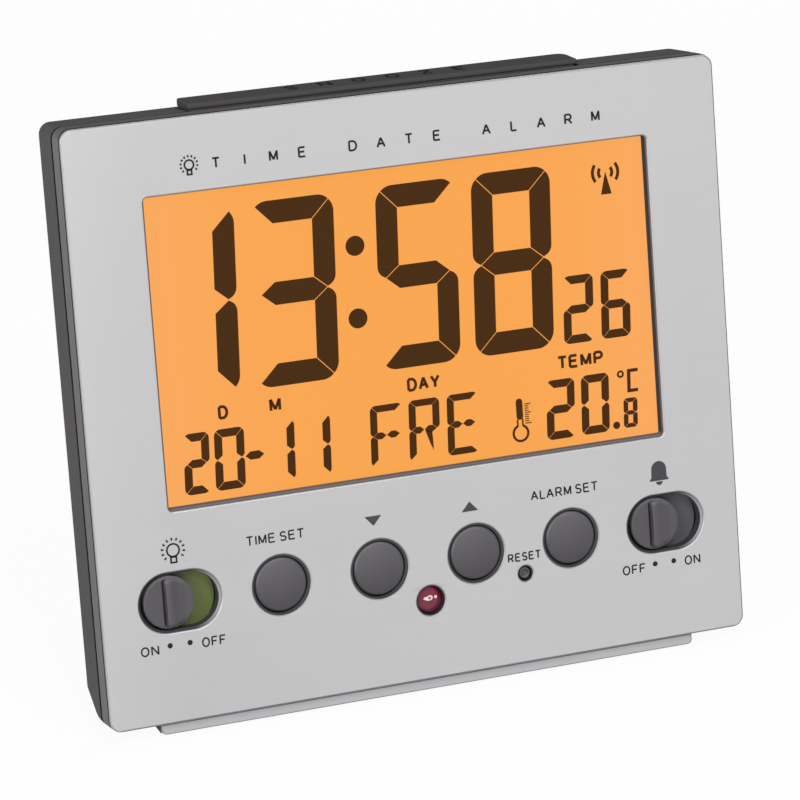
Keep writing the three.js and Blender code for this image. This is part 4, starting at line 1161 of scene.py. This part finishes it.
def segment_bars(width, height, stroke, gap, flat):
    """The outline of each bar of a digit, from its lower left corner; level bars are `flat` thick."""
    mid = height / 2.0
    corner = stroke * 0.74
    cut = corner * (1.0 - math.cos(math.pi / 4.0))
    waist = stroke * 0.38
    half = flat / 2.0
    w, h = width, height
    centre = w / 2.0
    top = (arc(w - corner, h - corner, corner, QUARTER / 2, QUARTER, 4)
           + arc(corner, h - corner, corner, QUARTER, QUARTER * 1.5, 4))
    top = ([(x - gap if x > centre else x + gap, z) for x, z in top]
           + [(stroke + gap, h - flat), (w - stroke - gap, h - flat)])
    right = ([(w - cut, h - cut - gap)]
             + arc(w - corner, h - corner - gap, corner, QUARTER / 2, 0.0, 4)
             + arc(w - waist * 1.3, mid + waist * 1.3 + gap, waist * 1.3, 0.0, -QUARTER * 0.75, 4)
             + [(w - waist, mid + gap), (w - stroke, mid + half + gap), (w - stroke, h - flat - gap)])
    bar = [(waist + gap, mid), (stroke + gap, mid + half), (w - stroke - gap, mid + half),
           (w - waist - gap, mid), (w - stroke - gap, mid - half), (stroke + gap, mid - half)]
    peak = (stroke + centre) / 2.0
    left_bar = [(waist + gap, mid), (stroke + gap, mid + half), (peak, mid + half),
                (centre - gap, mid), (peak, mid - half), (stroke + gap, mid - half)]
    leg = [(w * a, h * b) for a, b in (
        (0.52, 0.485), (0.75, 0.45), (0.775, 0.27), (0.785, 0.135), (0.69, 0.24), (0.60, 0.37))]
    down = [(x, h - z) for x, z in right]
    return {"a": top, "b": right, "c": down, "d": [(x, h - z) for x, z in top],
            "e": [(w - x, z) for x, z in down], "f": [(w - x, z) for x, z in right],
            "g": bar, "h": left_bar, "i": [(w - x, z) for x, z in left_bar], "k": leg}


def digit(sign, x, z, width, height, stroke, gap, flat=None):
    """The leaned bars that one sign lights, with its lower left corner at x, z."""
    bars = segment_bars(width, height, stroke, gap, flat or stroke)
    return [[(x + a + b * LEAN, z + b) for a, b in bars[name]] for name in BARS[sign]]


print("bars of an 8:", len(digit("8", 0.0, 0.0, 12.0, 26.0, 3.0, 0.1)))

# %% [markdown]
# ## Digits on the glass
# The display shows the time with small seconds, then the date, the day of the week and the
# temperature below it. The digits could all be placed by rule, but on real glass no two have quite
# the same width. So a table gives each row its sizes, and each sign its place and width.

# %% Digits on the glass
# A row's sizes are its foot, height, stroke and gap, and the level bars' thickness where it differs.
rows_of_signs = [
    # time
    ((2.85, 26.7, 3.3, 0.085), (("1", -38.6, 12.6), ("3", -23.6, 12.65), ("5", -4.52, 12.46),
                                ("8", 10.33, 12.43))),
    # seconds
    ((2.87, 10.03, 1.25, 0.04), (("2", 24.4, 4.8), ("6", 30.43, 4.7))),
    # date and degrees
    ((-10.97, 8.85, 1.2, 0.045), (("2", -35.5, 3.85), ("0", -30.87, 4.52), ("-", -26.75, 3.85),
                                  ("1", -22.9, 4.2), ("1", -17.4, 4.2), ("2", 20.72, 4.53),
                                  ("0", 26.32, 4.48))),
    # day of the week
    ((-11.0, 8.95, 1.1, 0.03, 1.0), (("F", -7.04, 5.0), ("R", -1.04, 4.8), ("E", 4.95, 4.85))),
    # tenths
    ((-10.85, 4.42, 0.74, 0.035, 0.64), (("8", 33.12, 2.25),))]
shown = []
for (z, *sizes), row in rows_of_signs:
    for sign, x, width in row:
        shown += digit(sign, x, z, width, *sizes)
print("bars on the glass:", len(shown))

# %% [markdown]
# ## Signs on the glass
# Dots, a degree sign, a mast with radio waves for the time signal and a thermometer complete the
# display. They could be a picture, but circles, parts of rings and small bars stay sharp close up,
# and they join the digits in one piece.

# %% Signs on the glass
MAST_X, MAST_Z = 32.6, 27.4
TUBE_X = 16.6
MARKS, MARK_Z, MARK_STEP, MARK_HEIGHT = 10, -7.95, 0.318, 0.15
MARK_START, MARK_END, LONG_MARK_END = 17.42, 18.05, 18.4
celsius = [(0.08, 0.0), (1.75, 0.0), (1.75, 0.5), (0.55, 0.5), (0.55, 3.0), (1.75, 3.0), (1.75, 3.5),
           (0.08, 3.5), (0.0, 3.42), (0.0, 0.08)]
shown.append([(34.0 + a + b * LEAN, -5.6 + b) for a, b in celsius])
shown += [circle(-7.1, 21.5, 1.45, 40), circle(-7.45, 11.0, 1.45, 40), circle(31.95, -10.25, 0.56, 24)]
shown += ring(33.05, -2.7, 0.57, 0.26)

shown.append([(MAST_X, 27.55), (31.75, 24.2), (33.45, 24.2)])
for side in (0.0, math.pi):
    shown += ring(MAST_X, MAST_Z, 1.30, 0.82, side - 0.68, side + 0.68, 10)
    shown += ring(MAST_X, MAST_Z, 2.27, 1.79, side - 0.65, side + 0.65, 12)

shown += ring(TUBE_X, -9.25, 1.35, 0.98, QUARTER + 0.36, 5.0 * QUARTER - 0.36, 28)
wall = [(0.28, -8.25), (0.53, -8.25), (0.53, -7.15), (0.28, -7.15)]
for side in (-1.0, 1.0):
    shown.append([(TUBE_X + side * a, z) for a, z in wall])
shown.append(rounded_rectangle(TUBE_X - 0.52, TUBE_X + 0.52, -7.25, -4.1, 0.48, 6))
for i in range(MARKS):
    z = MARK_Z + MARK_STEP * i
    end = LONG_MARK_END if i in (0, 5, 9) else MARK_END
    shown.append([(MARK_START, z), (end, z), (end, z + MARK_HEIGHT), (MARK_START, z + MARK_HEIGHT)])
piece("lcd_segments", inlay(shown, lcd_low.y), LEANING, display_ink)

# %% [markdown]
# ## Letters
# The labels are plain capitals with strokes of one width. Blender's own font has other shapes, so
# the letters are drawn here. A stroke is a line of points with thickness, so each letter is a few
# lines on a grid one unit high. Round parts are bows of ellipses.

# %% Letters
def bow(x, z, reach_x, reach_z, start, stop, steps=14):
    """Points on part of an ellipse, in degrees."""
    turns = [math.radians(start + (stop - start) * i / steps) for i in range(steps + 1)]
    return [(x + reach_x * math.cos(a), z + reach_z * math.sin(a)) for a in turns]


STEM = [(0.0, 0.0), (0.0, 1.0)]
BOWL = [(0.0, 1.0), (0.42, 1.0)] + bow(0.42, 0.73, 0.28, 0.27, 75, -75) + [(0.42, 0.46), (0.0, 0.46)]
LETTERS = {
    "A": [[(0.0, 0.0), (0.42, 1.0)], [(0.42, 1.0), (0.84, 0.0)], [(0.15, 0.35), (0.69, 0.35)]],
    "D": [[(0.0, 1.0), (0.36, 1.0)] + bow(0.36, 0.5, 0.44, 0.5, 75, -75) + [(0.36, 0.0), (0.0, 0.0)], STEM],
    "E": [STEM, [(0.0, 1.0), (0.68, 1.0)], [(0.0, 0.53), (0.62, 0.53)], [(0.0, 0.0), (0.70, 0.0)]],
    "F": [STEM, [(0.0, 1.0), (0.66, 1.0)], [(0.0, 0.51), (0.56, 0.51)]],
    "I": [STEM],
    "L": [STEM, [(0.0, 0.0), (0.60, 0.0)]],
    "M": [STEM, [(0.0, 1.0), (0.41, 0.08)], [(0.41, 0.08), (0.82, 1.0)], [(0.82, 1.0), (0.82, 0.0)]],
    "N": [STEM, [(0.0, 1.0), (0.76, 0.0)], [(0.76, 0.0), (0.76, 1.0)]],
    "O": [bow(0.42, 0.5, 0.42, 0.5, 0, 360, 32)],
    "P": [STEM, BOWL],
    "R": [STEM, BOWL, [(0.38, 0.46), (0.76, 0.0)]],
    "S": [bow(0.36, 0.745, 0.31, 0.255, 25, 250, 14) + bow(0.36, 0.255, 0.34, 0.255, 70, -155, 14)],
    "T": [[(0.0, 1.0), (0.76, 1.0)], [(0.38, 1.0), (0.38, 0.0)]],
    "Y": [[(0.0, 1.0), (0.41, 0.44), (0.82, 1.0)], [(0.41, 0.44), (0.41, 0.0)]],
    "Z": [[(0.0, 1.0), (0.74, 1.0)], [(0.74, 1.0), (0.0, 0.0)], [(0.0, 0.0), (0.74, 0.0)]],
}
print("letters:", "".join(LETTERS))

# %% [markdown]
# ## Words
# A ribbon gives the lines of a letter their width. A word sets its letters side by side, some pairs
# closer than others, and is then fitted to the length that it has on the clock. Stretching finished
# letters would stretch their strokes too, so the lines are fitted before they get their width.

# %% Words
LETTER_GAP, WORD_GAP = 0.24, 0.30
TIGHT = {"ET": 0.04, "LA": 0.12, "TE": 0.10}
NARROWEST = 0.01


def ribbon(line, width):
    """Quads along a line, mitred at its corners."""
    points = [Vector(point) for point in line]
    sides = []
    for i, point in enumerate(points):
        parts = [j for j in (i - 1, i) if 0 <= j < len(points) - 1]
        ahead = [(points[j + 1] - points[j]).normalized() for j in parts]
        along = sum(ahead, Vector((0.0, 0.0))).normalized()
        across = Vector((-along.y, along.x))
        stretch = max(0.5, abs(across.dot(Vector((-ahead[0].y, ahead[0].x)))))
        sides.append((point + across * width / 2.0 / stretch, point - across * width / 2.0 / stretch))
    return [[tuple(p) for p in (a, c, d, b)] for (a, b), (c, d) in zip(sides, sides[1:])]


def word(text, x, z, width, height, stroke):
    """Polygons for a word centred on x, z. Without a width it takes its natural one."""
    strokes, reach = [], 0.0
    for i, letter in enumerate(text):
        if letter == " ":
            reach += WORD_GAP
            continue
        reach -= TIGHT.get(text[max(i - 1, 0):i + 1], 0.0)
        lines = [[(reach + a, b) for a, b in line] for line in LETTERS[letter]]
        strokes += lines
        reach = max(a for line in lines for a, _ in line) + LETTER_GAP + stroke / height
    natural = reach - LETTER_GAP - stroke / height
    tall = height - stroke
    wide = width - stroke if width else natural * tall
    left, foot = x - wide / 2.0, z - tall / 2.0
    shapes = []
    for line in strokes:
        fitted = [(left + a * wide / max(natural, NARROWEST), foot + b * tall) for a, b in line]
        shapes += ribbon(fitted, stroke)
    return shapes


print("an E has", len(word("E", 0.0, 0.0, None, 1.0, 0.1)), "quads")

# %% [markdown]
# ## Labels on the glass
# Small labels over the lower row say what it shows. On the real glass they are segments that are
# always on. They are words in the colour of the segments, on a piece of their own.

# %% Labels on the glass
GLASS_Z, GLASS_HEIGHT, GLASS_STROKE = 0.28, 2.05, 0.43
on_glass = []
for text, x, width in (("D", -28.9, 1.55), ("M", -21.0, 1.78), ("DAY", 1.9, 5.15), ("TEMP", 26.75, 7.4)):
    on_glass += word(text, x, GLASS_Z, width, GLASS_HEIGHT, GLASS_STROKE)
piece("lcd_labels", inlay(on_glass, lcd_low.y), LEANING, display_ink)

# %% [markdown]
# ## Signs on the plate
# A lamp and a bell are the signs of the two slide switches, and two arrows those of the buttons
# for up and down. A picture of them would need a file, so they are thin shapes like the digits: the
# lamp is drawn with strokes, the others are filled.

# %% Signs on the plate
RAYS, RAY_START, RAY_STEP = 11, -34.0, 25.6


def lamp_sign(x, z, unit, stroke=0.25):
    """A bulb with its cap and eleven rays. Its glass is about two units across."""
    shapes = ring(x, z, 1.07 * unit, 1.07 * unit - stroke, steps=28)
    sleeve = [(-0.42, -0.85), (-0.42, -1.82), (0.42, -1.82), (0.42, -0.85)]
    thread = [(-0.42, -1.0), (0.42, -1.0)]
    for line in (sleeve, thread):
        shapes += ribbon([(x + a * unit, z + b * unit) for a, b in line], stroke)
    for i in range(RAYS):
        turn = math.radians(RAY_START + RAY_STEP * i)
        spoke = [(x + r * unit * math.cos(turn), z + r * unit * math.sin(turn)) for r in (1.45, 1.86)]
        shapes += ribbon(spoke, stroke)
    return shapes


def bell_sign(x, z):
    """A bell with a lip and its clapper, about three millimetres across."""
    right = ([(1.40, -1.10), (1.52, -1.02), (1.52, -0.90), (1.42, -0.82), (1.24, -0.55)]
             + arc(0.0, 0.65, 1.2, 0.0, QUARTER, 12))
    outline = right + [(-a, b) for a, b in reversed(right)]
    clapper = arc(0.0, -1.24, 0.54, 2 * QUARTER, 4 * QUARTER, 10)
    return [shifted(shape, x, z) for shape in (outline, clapper)]


filled = bell_sign(37.48, -18.0)
filled.append([(-9.4, -17.65), (-6.8, -17.65), (-8.1, -19.1)])
filled.append([(5.7, -19.2), (8.3, -19.2), (7.0, -17.75)])
piece("plate_signs", inlay(filled, 0.0), LEANING, sign_ink)

# %% [markdown]
# ## Printing on the plate
# Generic labels are screen-printed in dark grey over their controls, with dots for the ends of each
# switch. A mask in the plate's finish could draw them, but as shapes they have crisp edges from
# close by. The line over the window has widely spaced letters, so these are set one by one.

# %% Plate printing
LABEL_STROKE = 0.22
TITLE_START, TITLE_STEP, TITLE_SPACE = -27.6, 4.3, 3.4
TITLE_Z, TITLE_HEIGHT, TITLE_STROKE = 36.1, 1.6, 0.28
DOT = 0.39
dots = [(-40.2, -31.77), (-37.2, -31.77), (36.0, -31.57), (39.05, -31.57)]
labels = [("TIME SET", -23.2, -18.5, 8.9, 1.45), ("ALARM SET", 22.1, -18.4, 10.8, 1.45),
          ("RESET", 15.1, -27.2, 5.3, 1.3),
          ("ON", -43.25, -32.1, 2.75, 1.45), ("OFF", -33.61, -32.1, 3.63, 1.45),
          ("OFF", 32.55, -31.9, 3.75, 1.45), ("ON", 42.13, -31.82, 2.58, 1.45)]
signs = lamp_sign(-38.6, -18.04, 0.98) + lamp_sign(-31.57, 36.25, 0.75)
signs += [circle(x, z, DOT, 20) for x, z in dots]
for label in labels:
    signs += word(*label, LABEL_STROKE)
title_x = TITLE_START
for letter in "TIME DATE ALARM":
    if letter == " ":
        title_x += TITLE_SPACE
        continue
    signs += word(letter, title_x, TITLE_Z, None, TITLE_HEIGHT, TITLE_STROKE)
    title_x += TITLE_STEP
piece("plate_printing", inlay(signs, 0.0), LEANING, plate_ink)

# %% [markdown]
# ## Snooze bar
# The long bar on top is cut from a plan outline with round corners at the back. Its edges are
# rounded over their whole height, and its top rises slightly to the back, so the upper points are
# lifted in proportion to their depth. That keeps the rounding, which cutting the top at a slant
# would not. A narrower neck carries the bar, which leaves a dark line over the case.

# %% Snooze bar
bar_low, bar_high = extent("snooze_bar", LEANING)
HOOK = 1.0
BAR_FRONT, BAR_BACK = bar_low.y, bar_high.y
FRONT_RISE, BACK_RISE = 0.9, 1.4
BAR_GAP, BAR_EDGE = 0.12, 0.29
NECK_INSET, NECK_EDGE = 0.3, 0.02
NECK_LOW, NECK_HIGH = PLATE_TOP - 0.9, PLATE_TOP + 0.5


def bar_plan(inset):
    """The bar's outline seen from above, drawn in by an inset."""
    left, right = bar_low.x + HOOK + inset, bar_high.x - HOOK - inset
    front, back = BAR_FRONT + inset, BAR_BACK - inset
    return soften([(left, front), (right, front), (right, back), (left, back)],
                  {0: 0.4, 1: 0.4, 2: 1.6, 3: 0.4}, 8)


bar = sheet([bar_plan(0.0)], PLATE_TOP + BAR_GAP, PLATE_TOP + FRONT_RISE, BAR_EDGE, LYING, 4)
for corner in bar.verts:
    if corner.co.z > PLATE_TOP + (BAR_GAP + FRONT_RISE) / 2.0:
        corner.co.z += (BACK_RISE - FRONT_RISE) * (corner.co.y - BAR_FRONT) / (BAR_BACK - BAR_FRONT)
piece("snooze_bar_grip", bar, LEANING, bar_dark, "snooze_bar", ["snooze_bar"])
neck = sheet([bar_plan(NECK_INSET)], NECK_LOW, NECK_HIGH, NECK_EDGE, LYING)
piece("snooze_bar_neck", neck, LEANING, bar_dark, "snooze_bar")

# %% [markdown]
# ## Word on the bar
# The word on the bar is printed like the labels. A flat word would sink into the rising top or
# float over it, so it is drawn on a board of its own that lies on the slope. It moves with the bar.

# %% Word on the bar
SNOOZE_STEP, SNOOZE_HEIGHT, SNOOZE_STROKE = 5.2, 2.4, 0.42
SNOOZE_Z = 0.3
BAR_MIDDLE = (BAR_FRONT + BAR_BACK) / 2.0
slope = math.atan2(BACK_RISE - FRONT_RISE, BAR_BACK - BAR_FRONT)
bar_top = (LEANING @ Matrix.Translation((0.0, BAR_MIDDLE, PLATE_TOP + (FRONT_RISE + BACK_RISE) / 2.0))
           @ Matrix.Rotation(slope - QUARTER, 4, "X"))
bar_word = []
for i, letter in enumerate("SNOOZE"):
    bar_word += word(letter, SNOOZE_STEP * (i - 2.5), SNOOZE_Z, None, SNOOZE_HEIGHT, SNOOZE_STROKE)
piece("snooze_bar_word", inlay(bar_word, 0.0), bar_top, plate_ink, "snooze_bar")

# %% [markdown]
# ## Battery door
# The door shows from behind. It is a plate with shallow grip grooves. Cut in with Booleans they
# would have sharp edges, so the door is a thin skin with slots in it over a solid backing, and the
# two are joined to one piece.

# %% Battery door
DOOR_CORNER, DOOR_SKIN = 2.0, 0.5
GROOVES, GROOVE_FIRST, GROOVE_STEP = 4, 4.5, 1.8
GROOVE_LENGTH, GROOVE_HEIGHT = 16.0, 0.8


def together(meshes):
    """Several bmeshes as one."""
    whole = bmesh.new()
    for bm in meshes:
        part = bpy.data.meshes.new("part")
        bm.to_mesh(part)
        bm.free()
        whole.from_mesh(part)
        bpy.data.meshes.remove(part)
    return whole


door_low, door_high = extent("battery_door", STANDING)
door_outline = rounded_rectangle(door_low.x, door_high.x, door_low.z, door_high.z, DOOR_CORNER)
grooves = [stadium(0.0, door_high.z - GROOVE_FIRST - GROOVE_STEP * i, GROOVE_LENGTH, GROOVE_HEIGHT, 16)
           for i in range(GROOVES)]
door_skin = sheet([door_outline] + grooves, door_high.y - DOOR_SKIN, door_high.y, 0.12)
door_back = sheet([door_outline], door_low.y, door_high.y - DOOR_SKIN, 0.05)
piece("battery_door_plate", together([door_skin, door_back]), STANDING, case_dark,
      "battery_door", ["battery_door"])

# %% [markdown]
# ## Screws
# Plated steel screws hold the case, the base and the board. Their heads have a cross recess. As with
# the door, it isn't cut: it is a hole in the upper part of the head, over a plain lower part. The
# shank comes behind. One function makes all nine, in three sizes.

# %% Screws
HEAD_FACE = 0.6
HEAD_STEPS, SHANK_STEPS = 40, 24

steel = speckled("plated_steel", 0.6, colour(168, 168, 170), colour(190, 190, 190), 0.24, 0.14,
                 Metallic=1.0)


def cross_outline(x, z, reach, half):
    """A cross with arms that are twice half wide."""
    corners = ((reach, -half), (reach, half), (half, half), (half, reach), (-half, reach), (-half, half),
               (-reach, half), (-reach, -half), (-half, -half), (-half, -reach), (half, -reach),
               (half, -half))
    return shifted(corners, x, z)


def screw(node, board, axis, direction, head=2.0, shank=1.2, rise=1.0):
    """Head with a cross recess at the end that direction points to, shank the other way."""
    low, high = extent(node, board)
    spot = (low + high) / 2.0
    a, b = (spot.x, spot.z) if axis == "y" else (spot.x, spot.y)
    turn = FACING if axis == "y" else LYING
    ends = [corner["xyz".index(axis)] for corner in (low, high)]
    tip, top = ends if direction > 0 else reversed(ends)
    face = sorted((top, top - direction * rise * HEAD_FACE))
    seat = sorted((top - direction * rise * HEAD_FACE, top - direction * rise))
    shaft = sorted((top - direction * rise, tip))
    rim = circle(a, b, head, HEAD_STEPS)
    skin = sheet([rim, cross_outline(a, b, head * 0.55, head * 0.13)], *face, 0.08, turn)
    under = sheet([rim], *seat, 0.05, turn)
    stem = sheet([circle(a, b, shank, SHANK_STEPS)], *shaft, 0.1, turn)
    piece(f"{node}_head", together([skin, under, stem]), board, steel, stands_for=[node])


for name in ("top_left", "top_right", "bottom_left", "bottom_right"):
    screw(f"case_screw_{name}", LEANING, "y", 1.0, 2.0, 1.2, 0.7)
for node in base_screws:
    screw(node, STANDING, "z", -1.0)
for name in ("left", "right", "low"):
    screw(f"board_screw_{name}", LEANING, "y", 1.0, 1.9, 0.8, 0.6)

# %% [markdown]
# ## Pads
# Four rubber pads carry the clock. Each has a rounded rim and a shallow hollow below, which a plain
# cylinder would lack, so they are turned from one profile.

# %% Pads
PAD_RADIUS, PAD_HEIGHT, PAD_HOLLOW = 3.5, 1.0, 0.12
pad_profile = soften(
    [(0.0, PAD_HOLLOW), (2.2, PAD_HOLLOW), (2.5, 0.0), (PAD_RADIUS, 0.0), (PAD_RADIUS, PAD_HEIGHT),
     (0.0, PAD_HEIGHT)], {3: 0.25})
for pad in pads:
    spot = middle(pad, STANDING)
    piece(f"{pad}_foot", lathe(pad_profile, spot.x, spot.y, 48, "z"), STANDING, rubber,
          stands_for=[pad])

# %% [markdown]
# ## Cells
# Two round cells lie in the pocket in opposite directions, without print. A jacket covers each
# from end to end. Its steel ends, with the small plus cap, could be a change of finish, but as a
# piece of their own they can be reused. All of it is turned along x.

# %% Cells
JACKET_BAND = 15.0
CELL_STEPS, CELL_END_STEPS = 64, 48

jacket = new_finish("cell_jacket")
jacket_side = jacket.maths("ABSOLUTE", jacket.coordinate("X")) > JACKET_BAND
jacket_grain = jacket.noise(0.4)
jacket_mask = jacket_grain * 0.3 + jacket_side * 0.15
cell_jacket = principled(
    jacket,
    Base_Color=jacket.mix(jacket_mask, colour(72, 88, 100), colour(96, 112, 122)),
    Metallic=0.55,
    Roughness=0.30 + jacket_grain * 0.08,
    Coat_Weight=0.4)


def cell(name, plus):
    """A cell with its plus end on the right or the left: plus is 1 or -1."""
    low, high = extent(f"cell_{name}", STANDING)
    spot = (low + high) / 2.0
    radius = (high.z - low.z) / 2.0
    tip = low.x if plus < 0 else high.x
    end = high.x if plus < 0 else low.x
    wrap = soften([(0.0, tip - plus * 1.2), (radius - 1.2, tip - plus * 1.2), (radius - 0.9, tip - plus),
                   (radius, tip - plus), (radius, end + plus * 0.3), (radius - 0.9, end + plus * 0.3),
                   (radius - 1.1, end + plus * 0.6), (0.0, end + plus * 0.6)], {3: 0.5, 4: 0.5})
    piece(f"cell_{name}_jacket", lathe(wrap, spot.y, spot.z, CELL_STEPS, "x"), STANDING, cell_jacket,
          stands_for=[f"cell_{name}"])
    cap = soften([(0.0, tip), (2.75, tip), (2.75, tip - plus * 1.05), (radius - 1.3, tip - plus * 1.05),
                  (radius - 1.3, tip - plus * 1.25), (0.0, tip - plus * 1.25)], {1: 0.35})
    base = soften([(0.0, end), (4.6, end), (5.0, end + plus * 0.25), (radius - 1.2, end + plus * 0.4),
                   (radius - 1.2, end + plus * 0.65), (0.0, end + plus * 0.65)], {1: 0.2})
    ends = together([lathe(line, spot.y, spot.z, CELL_END_STEPS, "x") for line in (cap, base)])
    piece(f"cell_{name}_ends", ends, STANDING, steel)


plus_sides = {"lower": -1.0, "upper": 1.0}
for name, plus in plus_sides.items():
    cell(name, plus)

# %% [markdown]
# ## Springs and contacts
# A coil spring presses each cell against a plate. A Screw modifier winds a coil of one width, but
# these get narrower towards the cell, so round wire is swept along a helix point by point.

# %% Springs and contacts
SPRING_WIDE, SPRING_NARROW, WIRE = 4.3, 2.8, 0.35
SPRING_TURNS, SPRING_STEPS = 4.0, 144
CONTACT_EDGE = 0.12


def tube(path, radius, sides=12):
    """Round wire along a path, with flat ends."""
    bm = bmesh.new()
    rings = []
    axis = Vector((1.0, 0.0, 0.0))
    turns = [2.0 * math.pi * j / sides for j in range(sides)]
    for i, point in enumerate(path):
        ahead = (path[min(i + 1, len(path) - 1)] - path[max(i - 1, 0)]).normalized()
        side = ahead.cross(axis).normalized()
        over = side.cross(ahead)
        spokes = [math.cos(a) * side + math.sin(a) * over for a in turns]
        rings.append([bm.verts.new(point + radius * spoke) for spoke in spokes])
    for near, far in zip(rings, rings[1:]):
        for j in range(sides):
            k = (j + 1) % sides
            bm.faces.new((near[j], near[k], far[k], far[j]))
    bm.faces.new(rings[0])
    bm.faces.new(rings[-1])
    return bm


def helix(start, stop, middle_line):
    """The narrowing path of a spring along x."""
    path = []
    for i in range(SPRING_STEPS + 1):
        share = i / SPRING_STEPS
        reach = SPRING_WIDE + (SPRING_NARROW - SPRING_WIDE) * share
        a = 2.0 * math.pi * SPRING_TURNS * share
        path.append(Vector((start + (stop - start) * share, middle_line.y + reach * math.cos(a),
                            middle_line.z + reach * math.sin(a))))
    return path


for name, plus in plus_sides.items():
    low, high = extent(f"minus_spring_{name}", STANDING)
    wall, narrow = (high.x - WIRE, low.x + WIRE) if plus < 0 else (low.x + WIRE, high.x - WIRE)
    path = helix(wall, narrow, middle(f"cell_{name}", STANDING))
    piece(f"minus_spring_{name}_wire", tube(path, WIRE), STANDING, steel,
          stands_for=[f"minus_spring_{name}"])
    moulded(f"plus_contact_{name}_plate", f"plus_contact_{name}", steel, CONTACT_EDGE)

# %% [markdown]
# ## Finishes for the inside
# The board, the display's light guide and the small components sit behind the plate, where the
# camera never looks. They get solder mask with copper traces, winding turns, pressed ferrite and
# polished clear plastic. Each pattern is one texture node, because nobody will see it from close by.

# %% Inside finishes
TRACE_WIDTH = 0.09

mask_look = new_finish("solder_mask")
patches = mask_look.node("ShaderNodeTexVoronoi", {"feature": "DISTANCE_TO_EDGE"}, {
    "Vector": mask_look.place((1.0, 0.2, 1.0)), "Scale": 0.35})
trace = 1.0 - (patches > TRACE_WIDTH)
circuit_board = principled(
    mask_look, Base_Color=mask_look.mix(trace, colour(46, 94, 58), colour(78, 128, 84)), Roughness=0.35)

wind = new_finish("copper_winding")
turn_lines = wind.node("ShaderNodeTexWave", {"bands_direction": "X"}, {
    "Vector": wind.place(), "Scale": 1.6, "Distortion": 0.3})
copper_wire = principled(
    wind, Base_Color=wind.mix(turn_lines, colour(120, 66, 34), colour(190, 112, 62)), Metallic=0.9,
    Roughness=0.3 + turn_lines * 0.1, Normal=wind.bump(turn_lines, 0.05))

ferrite = speckled("pressed_ferrite", 0.15, colour(50, 49, 49), colour(64, 62, 62), 0.5, 0.15,
                   Metallic=0.3)
clear_plastic = speckled("clear_guide", 0.5, colour(240, 190, 130), colour(250, 214, 168), 0.15, 0.1,
                         Transmission_Weight=0.3)

print("finishes in all:", len(bpy.data.materials))

# %% [markdown]
# ## Dressing the inside
# The solids inside only change their finish. Their edges could be rounded like those of the case,
# but they are hidden while it is closed. A table says which finish goes on which solid.

# %% Inside
inside = [
    ("circuit_board", circuit_board, ["main_board", "receiver_board"]),
    ("copper_wire", copper_wire, ["antenna_coil"]),
    ("ferrite", ferrite, ["ferrite_rod"]),
    ("clear_plastic", clear_plastic, ["light_guide"]),
    ("white_plastic", white_plastic, ["lcd_holder", "left_lamp", "right_lamp"]),
    ("steel", steel, ["crystal"]),
    ("rubber", rubber, ["contact_strip"]),
    ("black_plastic", black_plastic, [
        "controller_chip", "capacitor", "buzzer", "thermistor", "light_sensor",
        *[f"{name}_switch" for name in buttons], "reset_switch", "snooze_switch",
        "light_switch_body", "alarm_switch_body"])]
for slot, finish, names in inside:
    for name in names:
        nodes[name].data.materials.clear()
        nodes[name].data.materials.append(finish)
print("dressed inside:", sum(len(names) for _, _, names in inside))

# %% [markdown]
# ## Overall box
# The last step prints the clock's box as loaded and as dressed.

# %% Finish
boxes = {"cad": cad_box, "visual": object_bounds()}
for name, (low, high) in boxes.items():
    print(name, [round(1000.0 * value, 2) for value in (high - low)], "mm")
